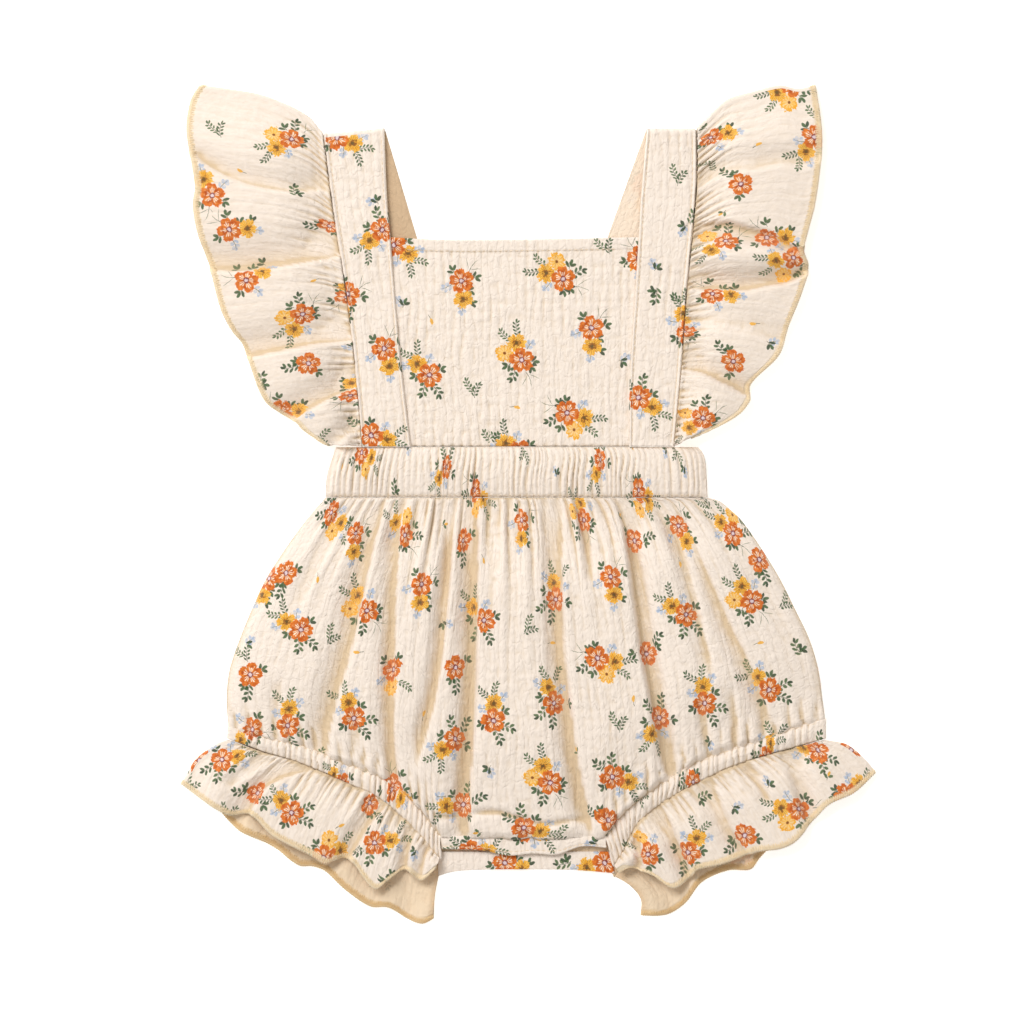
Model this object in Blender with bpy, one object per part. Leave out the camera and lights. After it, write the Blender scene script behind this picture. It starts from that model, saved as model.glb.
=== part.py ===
"""Baby romper of cotton double gauze, laid flat with its front up.

Units in the tables are millimetres; the model is built in metres. +Z is up from the surface it lies on,
+Y points to the shoulders, and the origin is on the centre line of the underside, just below the waistband.
"Left" is the side at -X. Each piece of cloth is one wall: a grid whose lower points are placed by a
function of two numbers, along and across the piece, and whose upper points are the same ones lifted.
"""

import math
from collections import namedtuple

import bmesh
import bpy
from mathutils import Vector

MM = 0.001

# Driving dimensions, in millimetres
CLOTH = 1.0  # wall of one layer of gauze
BAND = 1.6  # wall of a strap, back casing or crotch strip, which is folded double
CASING = 1.3  # wall of a gathered elastic casing
SEAM = 0.3  # clearance between two pieces
LAP = 5.0  # width of bib that lies under a strap
WAIST_TOP = 30.7  # height along Y of the waistband's upper edge
WAIST_LOW = 4.2  # and of its lower edge
CROTCH_Y = -176.5  # lower edge of the front panel between the legs
PUFF = 9.2  # height that the gathered front stands off the back
BACK_DROP = 9.0  # how much further down the back reaches than the front at the crotch
HEM_STEP = 0.7  # extra height of the bib's turned hem
HEM_DEPTH = 6.4
BAND_DROP = 6.0  # and than the front of a leg band's lower edge there
BIB_SHARE = 0.651  # share of a strap's front length that the bib reaches
FIRST = 0.355  # share of a shorts panel's lower edge at which the left leg band ends
LAST = 0.63  # and at which the right one starts
WAIST_GATHERS = 40
SHORTS_GATHERS = 22
FLUTTER_GATHERS = 15
RUFFLE_GATHERS = 10
BAND_GATHERS = 13
CASING_ROWS = [0, 0.22, 0.78, 1]  # places across the waistband
STEP = 0.004  # step in a surface's own coordinates with which its slope is read
STEEPEST = 0.55  # a steeper wall is not thickened further

# A fold: where along the seam and along the free edge it lies (0 to 1), how far it bows between them, where
# across the piece it starts and ends (0 is the seam, 1 the free edge), its depth (a ridge is negative), and
# its half width on its low side and on its high side.
Fold = namedtuple("Fold", "seam edge bow start end depth low high")

Colour = namedtuple("Colour", "red green blue")
CREAM = Colour(0.91, 0.82, 0.71)
PALE = Colour(0.93, 0.85, 0.75)


# Curves and patches in plan


def path(points):
    """A smooth curve through points in plan, as a function of 0 to 1 along its length."""
    points = [Vector(point) for point in points]
    marks = [0.0]
    for before, after in zip(points, points[1:]):
        marks.append(marks[-1] + (after - before).length)
    total = marks[-1]

    def slope(i):
        low = max(i - 1, 0)
        high = min(i + 1, len(points) - 1)
        return (points[high] - points[low]) / (marks[high] - marks[low])

    def at(t):
        along = min(max(t, 0.0), 1.0) * total
        i = 0
        while i < len(points) - 2 and marks[i + 1] < along:
            i += 1
        span = marks[i + 1] - marks[i]
        f = (along - marks[i]) / span
        rise = f * f * (3 - 2 * f)
        leave = f * (1 - f) * (1 - f) * span
        arrive = f * f * (f - 1) * span
        return points[i].lerp(points[i + 1], rise) + slope(i) * leave + slope(i + 1) * arrive

    return at


def patch(seam, edge, start, end):
    """The plan surface between four curves: seam and edge run along it, start and end across it."""
    corners = seam(0), seam(1), edge(0), edge(1)

    def at(u, v):
        ruled = seam(u).lerp(edge(u), v)
        sides = start(v).lerp(end(v), u)
        flat = corners[0].lerp(corners[1], u).lerp(corners[2].lerp(corners[3], u), v)
        return ruled + sides - flat

    return at


def straight(first, last):
    first = Vector(first)
    last = Vector(last)
    return lambda t: first.lerp(last, t)


def moved(curve, dx=0.0, dy=0.0):
    """A curve moved by (dx, dy)."""
    return lambda t: curve(t) + Vector((dx, dy))


def ease(t):
    """0 below 0, 1 above 1 and smooth between."""
    t = min(max(t, 0.0), 1.0)
    return t * t * (3 - 2 * t)


def at_least(value, floor, blend=0.8):
    """value, eased so that it never falls below floor."""
    return floor + blend * math.log1p(math.exp((value - floor) / blend))


# Form of gathered cloth


def uneven(p, twist=0.0):
    """Even steps made a little uneven, so that no two gathers are the same width."""
    return p + 0.007 * math.sin(9 * math.pi * p + twist) * math.sin(math.pi * p) + 0.004 * math.sin(
        23 * math.pi * p + 2 * twist
    ) * math.sin(math.pi * p)


def gather(p, count, size, twist=0.0):
    """Height of the small gathers along a seam, of uneven size."""
    share = 0.75 + 0.25 * math.sin(7.3 * math.pi * p + twist) * math.sin(17.1 * math.pi * p)
    return size * share * math.cos(2 * math.pi * count * p)


def folds_at(folds, length, u, v):
    """Height that the folds add at (u, v) of a piece that is `length` long there."""
    height = 0.0
    for fold in folds:
        centre = fold.seam + (fold.edge - fold.seam) * v + fold.bow * 4 * v * (1 - v)
        apart = (u - centre) * length
        apart /= fold.low if apart < 0 else fold.high
        if abs(apart) < 3:
            shown = ease((v - fold.start) / 0.12 + 1) * ease((fold.end - v) / 0.16 + 1)
            height -= fold.depth * math.exp(-apart * apart) * shown
    return height * (0.3 + 0.7 * ease(v / 0.14))


# Walls


def raised(surface, u, v, lift):
    """The surface's point at (u, v), moved straight up until it is `lift` above the surface."""
    here = surface(u, v)
    if not lift:
        return here
    along = surface(min(u + STEP, 1), v) - surface(max(u - STEP, 0), v)
    across = surface(u, min(v + STEP, 1)) - surface(u, max(v - STEP, 0))
    slope = abs(along.cross(across).normalized().z)
    return here + Vector((0, 0, lift / max(slope, STEEPEST)))


def folded(front, back, reach):
    """A strip that lies folded: front from 0 to 1, the turn from 1 to 2, and back from 2 to 3.

    reach is the share of the front's length that the turn takes up.
    """

    def at(w, v, lift):
        if w <= 1:
            return raised(front, w * (1 - reach), v, lift)
        if w >= 2:
            point = back((3 - w) * (1 - reach), v)
            return point - Vector((0, 0, lift))
        top = front(1 - reach, v)
        low = back(1 - reach, v)
        tip = front(1, v)
        outward = Vector((tip.x - top.x, tip.y - top.y, 0)).normalized()
        radius = (top.z - low.z) / 2 + lift
        angle = math.pi * (1.5 - w)
        centre = top.lerp(low, w - 1)
        centre.z = (top.z + low.z) / 2
        return centre + outward * radius * math.cos(angle) + Vector((0, 0, radius * math.sin(angle)))

    return at


def steps(low, high, count):
    return [low + (high - low) * i / count for i in range(count + 1)]


def strip_steps(front, turn, back):
    """Places along a folded strip, with so many steps on its front, its turn and its back."""
    return steps(0, 1, front) + steps(1, 2, turn)[1:] + steps(2, 3, back)[1:]


def wall(name, along, across, place, thickness, colour):
    """A closed wall on the grid of places along and across; place(u, v, lift) gives its points."""
    shape = bmesh.new()
    columns = len(along) - 1
    rows = len(across) - 1
    bmesh.ops.create_grid(shape, x_segments=columns, y_segments=rows, size=0.5)
    inner = list(shape.verts)
    region = bmesh.ops.extrude_face_region(shape, geom=shape.faces[:], use_keep_orig=True)
    outer = [item for item in region["geom"] if isinstance(item, bmesh.types.BMVert)]
    for layer, lift in ((inner, 0.0), (outer, thickness)):
        for vert in layer:
            u = along[round((vert.co.x + 0.5) * columns)]
            v = across[round((vert.co.y + 0.5) * rows)]
            vert.co = place(u, v, lift) * MM
    bmesh.ops.recalc_face_normals(shape, faces=shape.faces[:])
    if shape.calc_volume(signed=True) < 0:
        bmesh.ops.reverse_faces(shape, faces=shape.faces[:])
    mesh = bpy.data.meshes.new(name)
    shape.to_mesh(mesh)
    shape.free()
    mesh.shade_smooth()
    mesh.set_sharp_from_angle(angle=math.radians(50))
    mesh.materials.append(cloth_material(name, colour))
    obj = bpy.data.objects.new(name, mesh)
    collection.objects.link(obj)
    return obj


def cloth_material(name, colour):
    material = bpy.data.materials.new(name)
    material.use_nodes = True
    surface = material.node_tree.nodes["Principled BSDF"]
    surface.inputs["Base Color"].default_value = (*colour, 1)
    surface.inputs["Roughness"].default_value = 0.9
    surface.inputs["Metallic"].default_value = 0.0
    return material


def clear_scene():
    for obj in list(bpy.data.objects):
        bpy.data.objects.remove(obj, do_unlink=True)


def spot(x, y, z):
    """The point with these three coordinates."""
    return Vector((x, y, z))


# Levels above the surface, of the face of each layer that looks towards the other layers
BACK_TOP = CLOTH
STRAP_BACK = BAND
BIB_UNDER = STRAP_BACK + SEAM
STRAP_UNDER = BIB_UNDER + CLOTH + SEAM

# Outlines in plan, from points along each edge

STRAP_OUTER = {
    "left": [(-83.2, 31.0), (-88.0, 84.8), (-93.3, 124.6), (-98.6, 157.9), (-103.4, 195.6)],
    "right": [(83.2, 31.0), (86.9, 71.5), (89.6, 111.3), (92.2, 137.8), (94.9, 171.2), (94.9, 197.7)],
}
STRAP_INNER = {
    "left": [(-56.7, 31.0), (-61.5, 71.5), (-65.2, 111.3), (-67.3, 138.3), (-69.4, 163.0), (-71.0, 198.2)],
    "right": [(58.8, 31.0), (59.4, 71.5), (62.0, 111.3), (64.1, 144.7), (65.2, 164.3), (68.4, 198.2)],
}
STRAP_BACK_WAIST = {"left": (-48.9, -20.9), "right": (35.4, 7.4)}

FLUTTER_HEM = {
    "left": [
        (-102.3, 31.8), (-114.0, 39.8), (-124.6, 47.7), (-134.6, 55.7), (-144.2, 79.5),
        (-154.8, 95.4), (-157.9, 103.4), (-164.3, 127.2), (-170.1, 143.1), (-172.8, 159.0),
        (-171.7, 168.0), (-173.2, 181.0), (-176.0, 198.8), (-173.8, 214.7), (-168.5, 221.5),
    ],
    "right": [
        (92.0, 35.8), (102.3, 39.8), (116.6, 47.7), (123.0, 55.7), (123.4, 64.0),
        (138.3, 79.5), (143.6, 95.4), (150.0, 111.3), (154.2, 127.2), (151.6, 135.2),
        (153.7, 143.1), (157.9, 159.0), (161.7, 182.9), (162.2, 200.0), (157.9, 222.6),
    ],
}
FLUTTER_TOP = {
    "left": [(-103.8, 195.6), (-112.4, 206.7), (-134.1, 216.2), (-168.5, 221.5)],
    "right": [(95.3, 197.7), (101.8, 206.7), (111.3, 214.7), (138.9, 220.0), (157.9, 222.6)],
}
FLUTTER_BACK_HEM = {
    "left": [
        (-68.0, 33.0), (-112.0, 75.0), (-138.0, 117.0), (-160.0, 160.0), (-168.0, 200.0), (-168.5, 221.5),
    ],
    "right": [
        (54.0, 33.0), (98.0, 75.0), (126.0, 117.0), (147.0, 160.0), (156.0, 200.0), (157.9, 222.6),
    ],
}

WAIST_END = {
    "left": [(-96.5, 30.7), (-99.1, 24.0), (-101.6, 15.0), (-102.3, 4.2)],
    "right": [(94.5, 30.7), (98.8, 24.0), (100.2, 15.0), (100.7, 4.2)],
}
SHORTS_SIDE = {
    "left": [
        (-102.3, 3.9), (-112.4, -8.0), (-124.0, -23.9), (-134.1, -39.8), (-141.5, -55.7),
        (-147.9, -71.5), (-153.2, -87.5), (-154.8, -103.4), (-153.7, -118.9),
    ],
    "right": [
        (100.7, 3.9), (110.8, -0.5), (118.6, -8.0), (129.8, -23.9), (139.4, -39.8),
        (147.3, -55.7), (154.8, -71.5), (159.5, -87.5), (161.7, -103.4), (163.2, -114.8),
    ],
}

# Leg bands, from the crotch to the outer side
BAND_UPPER = {
    "left": [
        (-41.3, -176.5), (-53.0, -160.6), (-68.9, -146.8), (-91.2, -137.8), (-116.1, -128.3),
        (-135.7, -123.5), (-153.7, -118.9),
    ],
    "right": [
        (46.1, -176.5), (56.7, -162.7), (79.0, -146.8), (93.3, -138.0), (114.5, -129.8),
        (136.2, -123.0), (147.3, -118.7), (163.2, -114.8),
    ],
}
BAND_LOWER = {
    "left": [
        (-41.3, -188.2), (-51.9, -175.5), (-63.1, -164.3), (-75.5, -154.5), (-91.2, -147.4),
        (-117.1, -136.2), (-134.6, -131.0), (-154.2, -124.0),
    ],
    "right": [
        (51.0, -192.0), (56.7, -182.3), (62.0, -171.2), (73.0, -160.5), (93.3, -148.4),
        (114.5, -138.3), (136.2, -131.4), (163.2, -124.0),
    ],
}
RUFFLE_HEM = {
    "left": [
        (-44.0, -192.9), (-51.9, -198.8), (-59.9, -193.5), (-68.9, -198.8), (-75.5, -203.5),
        (-102.3, -190.3), (-109.2, -186.0), (-129.8, -175.4), (-142.0, -164.2), (-154.2, -164.3),
        (-179.1, -147.9),
    ],
    "right": [
        (53.0, -194.5), (60.0, -192.4), (72.1, -196.6), (82.2, -203.0), (90.6, -198.2),
        (94.8, -193.5), (107.6, -190.3), (127.0, -184.0), (147.3, -179.7), (157.4, -168.0),
        (165.9, -156.9), (178.6, -152.6), (190.0, -142.0),
    ],
}
RUFFLE_BACK_HEM = {
    "left": [
        (-45.1, -219.4), (-50.9, -222.1), (-58.8, -219.4), (-68.9, -213.6), (-78.4, -213.1),
        (-91.2, -204.6), (-102.3, -194.5), (-120.8, -188.2), (-154.2, -165.3), (-179.1, -147.9),
    ],
    "right": [
        (65.2, -217.8), (79.0, -217.3), (88.0, -212.0), (97.5, -200.3), (111.8, -194.0),
        (125.0, -194.0), (131.0, -188.8), (157.4, -168.5), (190.0, -142.0),
    ],
}
RUFFLE_TIP = {
    "left": [(-154.2, -124.6), (-160.6, -127.2), (-171.2, -135.2), (-176.0, -143.1), (-179.1, -147.9)],
    "right": [(163.2, -124.6), (174.4, -127.2), (184.4, -135.2), (190.0, -142.0)],
}
RUFFLE_BACK_START = {
    "left": [(-41.6, -194.8), (-44.0, -206.7), (-45.1, -219.4)],
    "right": [(51.3, -195.8), (59.4, -200.9), (65.5, -209.0), (65.2, -217.8)],
}
CROTCH_FRONT_LOW = [
    (-40.6, -182.5), (-18.6, -183.4), (-5.3, -186.0), (8.0, -185.0), (20.7, -185.5), (33.9, -181.2),
    (46.8, -182.0),
]

# Folds of the gathered pieces: see Fold

SHORTS_FOLDS = [
    Fold(0.095, 0.044, 0.0, 0.00, 0.42, 2.1, 4.5, 4.5),
    Fold(0.146, 0.137, 0.024, 0.10, 0.97, 6.5, 4.5, 3.8),
    Fold(0.197, 0.258, 0.019, 0.20, 1.00, 5.7, 3.8, 3.6),
    Fold(0.313, 0.270, 0.045, 0.06, 0.72, 5.2, 4.0, 3.6),
    Fold(0.381, 0.394, 0.019, 0.00, 0.88, 7.8, 4.6, 3.8),
    Fold(0.600, 0.606, -0.032, 0.05, 0.88, 6.2, 4.6, 5.0),
    Fold(0.660, 0.600, 0.0, 0.00, 0.20, 2.6, 2.6, 2.6),
    Fold(0.698, 0.640, 0.0, 0.00, 0.18, 2.1, 2.4, 2.4),
    Fold(0.769, 0.761, -0.031, 0.00, 0.95, 7.0, 3.4, 4.4),
    Fold(0.844, 0.828, 0.0, 0.00, 0.62, 3.1, 3.0, 3.6),
    Fold(0.871, 0.923, -0.021, 0.05, 1.00, 4.7, 3.4, 4.0),
    Fold(0.964, 1.000, -0.019, 0.10, 0.85, 2.9, 5.0, 5.0),
    Fold(0.800, 0.820, 0.0, 0.84, 1.00, 2.6, 2.6, 2.6),
    Fold(0.850, 0.865, 0.0, 0.86, 1.00, 2.3, 2.4, 2.4),
    Fold(0.075, 0.075, 0.0, 0.84, 1.00, 2.3, 2.6, 2.6),
    Fold(0.200, 0.200, 0.0, 0.88, 1.00, 2.1, 2.4, 2.4),
]
FLUTTER_FOLDS = {
    "left": [
        Fold(0.834, 0.834, -0.068, 0.00, 1.00, 3.2, 4.0, 7.0),
        Fold(0.624, 0.547, -0.035, 0.00, 1.00, 7.0, 5.0, 13.0),
        Fold(0.401, 0.315, -0.012, 0.00, 1.00, 7.0, 5.0, 12.0),
        Fold(0.203, 0.115, -0.005, 0.00, 1.00, 6.2, 5.0, 11.0),
        Fold(0.081, -0.018, 0.0, 0.10, 0.80, 4.1, 4.0, 6.0),
    ],
    "right": [
        Fold(0.838, 0.827, -0.022, 0.00, 0.90, 3.0, 4.0, 7.0),
        Fold(0.677, 0.577, -0.003, 0.00, 1.00, 4.3, 4.0, 6.0),
        Fold(0.590, 0.568, -0.025, 0.00, 1.00, -3.5, 7.0, 7.0),
        Fold(0.518, 0.540, -0.051, 0.00, 1.00, 5.7, 7.0, 4.0),
        Fold(0.403, 0.366, -0.003, 0.00, 1.00, 2.2, 5.0, 8.0),
        Fold(0.263, 0.193, -0.005, 0.00, 1.00, 5.7, 4.0, 8.0),
        Fold(0.080, 0.030, 0.0, 0.00, 0.60, 2.4, 4.0, 6.0),
    ],
}
RUFFLE_FOLDS = {
    "left": [
        Fold(0.837, 0.768, 0.033, 0.00, 1.00, 4.6, 4.0, 4.6),
        Fold(0.565, 0.900, -0.099, 0.00, 0.72, 4.3, 3.4, 3.4),
        Fold(0.423, 0.422, 0.0, 0.10, 1.00, 4.1, 6.0, 5.0),
        Fold(0.244, 0.209, 0.0, 0.00, 1.00, 3.8, 4.0, 4.0),
        Fold(0.100, 0.080, 0.0, 0.10, 1.00, 2.9, 3.0, 3.0),
    ],
    "right": [
        Fold(0.846, 0.697, -0.009, 0.05, 1.00, 4.3, 4.0, 4.6),
        Fold(0.670, 0.600, 0.0, 0.00, 0.45, 2.6, 3.0, 3.4),
        Fold(0.517, 0.468, -0.029, 0.05, 1.00, 4.3, 4.6, 4.0),
        Fold(0.291, 0.263, -0.003, 0.00, 1.00, 5.5, 3.6, 4.0),
        Fold(0.160, 0.060, 0.0, 0.20, 1.00, 4.1, 3.4, 3.4),
    ],
}


# Front panels


def bib_plan():
    left = moved(path(STRAP_INNER["left"]), dx=-LAP)
    right = moved(path(STRAP_INNER["right"]), dx=LAP)
    top = path([(-72.3, 139.9), (-40.0, 138.9), (-9.5, 138.7), (30.0, 140.0), (69.1, 142.6)])
    waist = straight((-61.7, WAIST_TOP + SEAM), (63.8, WAIST_TOP + SEAM))
    return patch(waist, top, lambda t: left(t * BIB_SHARE), lambda t: right(t * BIB_SHARE))


def bib_surface(u, v):
    point = bib_plan_at(u, v)
    top = bib_plan_at(u, 1.0).y
    hem = ease((point.y - (top - HEM_DEPTH - 0.8)) / 0.8)
    return spot(point.x, point.y, BIB_UNDER + HEM_STEP * hem)


def waistband_plan():
    left = path(WAIST_END["left"])
    right = path(WAIST_END["right"])
    return patch(straight(left(0), right(0)), straight(left(1), right(1)), left, right)


def waistband_surface(p, v):
    u = uneven(p)
    point = waistband_at(u, v)
    arch = math.sin(math.pi * v) ** 0.7 if 0 < v < 1 else 0.0
    sides = ease(u / 0.03) * ease((1 - u) / 0.03)
    height = STRAP_BACK + SEAM + 0.5 + (2.2 * arch + gather(p, WAIST_GATHERS, 0.5)) * sides
    return spot(point.x, point.y, height)


def shorts_low(drop):
    """Lower edge of a shorts panel: the left leg band, the crotch, the right leg band."""
    left = path(BAND_UPPER["left"])
    right = path(BAND_UPPER["right"])

    def at(u):
        if u < FIRST:
            t = u / FIRST
            return left(1 - t) - Vector((0, drop * t))
        if u > LAST:
            t = (u - LAST) / (1 - LAST)
            return right(t) - Vector((0, drop * (1 - t)))
        return left(0).lerp(right(0), (u - FIRST) / (LAST - FIRST)) - Vector((0, drop))

    return at


def shorts_plan(drop):
    waist = straight((-102.3, WAIST_LOW - SEAM), (100.7, WAIST_LOW - SEAM))
    return patch(waist, shorts_low(drop), path(SHORTS_SIDE["left"]), path(SHORTS_SIDE["right"]))


def shorts_surface(p, v):
    u = uneven(p, 0.8)
    point = shorts_front_at(u, v)
    side = 1 - abs(2 * u - 1) ** 3
    rise = ease(v / 0.35) * (1 - 0.55 * ease((v - 0.7) / 0.3))
    body = 2.6 + PUFF * rise
    small = gather(p, SHORTS_GATHERS, 0.9 + 0.5 * ease(v / 0.15), 1.3) * (1 - ease(v / 0.7))
    height = body + small + folds_at(SHORTS_FOLDS, 200 + 110 * v, u, v)
    low = BACK_TOP + SEAM
    height = low + 0.5 + (height - low - 0.5) * max(side, 0) ** 0.5
    return spot(point.x, point.y, at_least(height, low + 0.1, 0.5))


def shorts_back_surface(u, v):
    point = shorts_back_at(u, v)
    return spot(point.x, point.y, 0.0)


# Strips that lie folded


def strap_surfaces(side):
    outer = path(STRAP_OUTER[side])
    inner = path(STRAP_INNER[side])
    waist_outer, waist_inner = STRAP_BACK_WAIST[side]
    back_outer = straight((waist_outer, WAIST_TOP + SEAM), outer(1))
    back_inner = straight((waist_inner, WAIST_TOP + SEAM), inner(1))

    def front(s, v):
        point = outer(s).lerp(inner(s), v)
        hem = ease((point.y - 126.0) / 3) * ease((153.0 - point.y) / 3)
        return spot(point.x, point.y, STRAP_UNDER + HEM_STEP * hem)

    def back(s, v):
        point = back_outer(s).lerp(back_inner(s), v)
        return spot(point.x, point.y, STRAP_BACK)

    return front, back


def flutter_surfaces(side):
    way = {"left": -1, "right": 1}[side]
    seam = moved(path(STRAP_OUTER[side]), dx=way * 1.3 * SEAM, dy=0.8)
    hem = path(FLUTTER_HEM[side])
    plan = patch(seam, hem, straight(seam(0), hem(0)), path(FLUTTER_TOP[side]))
    waist_outer, _ = STRAP_BACK_WAIST[side]
    back_seam = straight((waist_outer + way * 1.3 * SEAM, WAIST_TOP + SEAM), seam(1))
    back_hem = path(FLUTTER_BACK_HEM[side])
    back_plan = patch(back_seam, back_hem, straight(back_seam(0), back_hem(0)), path(FLUTTER_TOP[side]))

    def front(p, v):
        u = uneven(p, 2.1) if p < 0.9 else p
        point = plan(u, v)
        small = gather(p, FLUTTER_GATHERS, 0.9) * (1 - ease(v / 0.5)) * ease((1 - u) / 0.06)
        lift = 1.2 + 6.2 * ease(v / 0.45) * (1 - 0.3 * ease((v - 0.6) / 0.4))
        waves = lift + folds_at(FLUTTER_FOLDS[side], 165 + 60 * v, u, v)
        height = 2.2 + small + waves * ease((1 - u) / 0.16) + 0.6 * ease((u - 0.84) / 0.16)
        return spot(point.x, point.y, at_least(height, BACK_TOP + SEAM + 0.3, 0.4))

    def back(s, v):
        point = back_plan(s, v)
        return spot(point.x, point.y, BACK_TOP)

    return front, back


def band_surfaces(side):
    upper = moved(path(BAND_UPPER[side]), dy=-1.6 * SEAM)
    lower = path(BAND_LOWER[side])

    def front(p, v):
        s = uneven(p, 0.4) if p < 0.9 else p
        point = upper(s).lerp(lower(s), v)
        arch = math.sin(math.pi * v) if 0 < v < 1 else 0.0
        edge = ease((1 - s) / 0.1)
        raise_by = 0.8 + 1.3 * arch + gather(p, BAND_GATHERS, 0.8, 1.9)
        return spot(point.x, point.y, 2.4 + raise_by * edge + 0.6 * (1 - edge))

    def back(s, v):
        point = upper(s).lerp(lower(s), v)
        drop = BACK_DROP + (BAND_DROP - BACK_DROP) * v
        return spot(point.x, point.y - drop * (1 - s) - SEAM * (1 - v), CASING)

    return front, back


def ruffle_surfaces(side):
    seam = moved(path(BAND_LOWER[side]), dy=-1.8 * SEAM)
    hem = path(RUFFLE_HEM[side])
    plan = patch(seam, hem, straight(seam(0), hem(0)), path(RUFFLE_TIP[side]))
    start = path(RUFFLE_BACK_START[side])

    def back_seam(s):
        return seam(s) - Vector((0, BAND_DROP * (1 - s)))

    back_start = straight(back_seam(0), start(1))
    back_plan = patch(back_seam, path(RUFFLE_BACK_HEM[side]), back_start, path(RUFFLE_TIP[side]))

    def front(p, v):
        u = uneven(p, 1.1) if p < 0.9 else p
        point = plan(u, v)
        edge = ease((1 - u) / 0.14)
        small = gather(p, RUFFLE_GATHERS, 1.0, 0.7) * (1 - ease(v / 0.75)) * edge
        waves = 1.0 + 4.8 * ease(v / 0.5) + folds_at(RUFFLE_FOLDS[side], 125 + 30 * v, u, v)
        height = 2.4 + small + waves * edge + 0.6 * (1 - edge)
        return spot(point.x, point.y, at_least(height, BACK_TOP + SEAM + 0.3, 0.4))

    def back(s, v):
        point = back_plan(s, v)
        return spot(point.x, point.y, BACK_TOP)

    return front, back


def lifted(surface):
    """A wall that only rises: its points are those of the surface, raised."""
    return lambda u, v, lift: raised(surface, u, v, lift)


def build_front():
    across = steps(0, 0.92, 7) + [0.936, 0.944, 1.0]
    wall("bib", steps(0, 1, 14), across, lifted(bib_surface), CLOTH, CREAM)
    along = steps(0, 1, 4 * WAIST_GATHERS)
    wall("waistband_front", along, CASING_ROWS, lifted(waistband_surface), CASING, PALE)
    along = steps(0, 1, 4 * SHORTS_GATHERS)
    wall("shorts_front", along, steps(0, 1, 11), lifted(shorts_surface), CLOTH, CREAM)


def build_back():
    def waistband(u, v, lift):
        point = waistband_at(u, v)
        return spot(point.x, point.y, lift)

    wall("waistband_back", steps(0, 1, 8), CASING_ROWS, waistband, BAND, PALE)
    along = steps(0, FIRST, 11) + steps(FIRST, LAST, 4)[1:] + steps(LAST, 1, 11)[1:]
    wall("shorts_back", along, steps(0, 1, 6), lifted(shorts_back_surface), CLOTH, CREAM)


def build_sides():
    for side in ("left", "right"):
        front, back = strap_surfaces(side)
        along = steps(0, 0.575, 5) + [0.595, 0.72, 0.74] + steps(0.78, 1, 3) + steps(1, 2, 6)[1:] + [2.5, 3]
        wall(f"strap_{side}", along, steps(0, 1, 2), folded(front, back, 0.015), BAND, PALE)
        front, back = flutter_surfaces(side)
        wall(
            f"flutter_{side}", strip_steps(4 * FLUTTER_GATHERS, 4, 8), steps(0, 1, 6),
            folded(front, back, 0.014), CLOTH, CREAM,
        )
        front, back = band_surfaces(side)
        wall(
            f"leg_band_{side}", strip_steps(4 * BAND_GATHERS, 4, 16), steps(0, 1, 2),
            folded(front, back, 0.02), CASING, PALE,
        )
        front, back = ruffle_surfaces(side)
        wall(
            f"leg_ruffle_{side}", strip_steps(4 * RUFFLE_GATHERS, 4, 14), steps(0, 1, 4),
            folded(front, back, 0.018), CLOTH, CREAM,
        )


def build_crotch():
    top = straight((-40.6, CROTCH_Y - 0.5), (45.6, CROTCH_Y - 0.5))
    low = path(CROTCH_FRONT_LOW)
    front = patch(top, low, straight(top(0), low(0)), straight(top(1), low(1)))

    def front_strip(u, v, lift):
        point = front(u, v)
        return spot(point.x, point.y, 2.4 + 0.5 * math.sin(9 * u) * math.sin(math.pi * v) + lift)

    back_top = straight((-40.4, CROTCH_Y - BACK_DROP - 0.5), (46.0, CROTCH_Y - BACK_DROP - 0.5))
    back_low = straight((-40.4, -194.0), (49.0, -194.0))

    def back_strip(u, v, lift):
        point = back_top(u).lerp(back_low(u), v)
        return spot(point.x, point.y, lift)

    wall("crotch_front", steps(0, 1, 20), steps(0, 1, 2), front_strip, BAND, PALE)
    wall("crotch_back", steps(0, 1, 4), steps(0, 1, 1), back_strip, BAND, PALE)


clear_scene()
collection = bpy.data.collections.new("baby_romper")
bpy.context.scene.collection.children.link(collection)
bib_plan_at = bib_plan()
waistband_at = waistband_plan()
shorts_front_at = shorts_plan(0.0)
shorts_back_at = shorts_plan(BACK_DROP)
build_back()
build_front()
build_sides()
build_crotch()
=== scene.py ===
# %% [markdown]
# # A baby romper of crinkled cotton gauze
# The romper lies flat with its front up. The CAD part gives each piece of cloth its place and its
# main form. This lesson dresses it: every piece is made again as a thin shell on the form of its
# solid, with finer gathers, folds and crinkle, and gets its print, its stitching and its edges.
# Lengths are in millimetres until the last moment, because cloth is cut and sewn in millimetres.

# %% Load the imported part
import math
from collections import namedtuple

import bmesh
import bpy
import numpy as np
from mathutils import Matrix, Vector


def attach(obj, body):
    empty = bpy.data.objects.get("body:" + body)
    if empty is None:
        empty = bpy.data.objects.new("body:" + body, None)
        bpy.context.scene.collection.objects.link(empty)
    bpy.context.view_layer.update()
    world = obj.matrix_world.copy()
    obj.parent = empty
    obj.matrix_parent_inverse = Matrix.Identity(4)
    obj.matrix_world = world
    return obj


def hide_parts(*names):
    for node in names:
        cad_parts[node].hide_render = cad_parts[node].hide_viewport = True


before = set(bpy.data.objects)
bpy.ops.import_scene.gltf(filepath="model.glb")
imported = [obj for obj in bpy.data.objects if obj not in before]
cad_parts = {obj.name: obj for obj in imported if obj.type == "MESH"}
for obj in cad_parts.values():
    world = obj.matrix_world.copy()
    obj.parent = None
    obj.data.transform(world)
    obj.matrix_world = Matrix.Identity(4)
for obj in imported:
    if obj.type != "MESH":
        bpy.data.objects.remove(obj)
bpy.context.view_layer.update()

MM = 0.001
WAY = {"left": -1, "right": 1}  # the direction in X of each side of the romper
print("nodes in the part:", ", ".join(sorted(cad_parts)))

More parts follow.
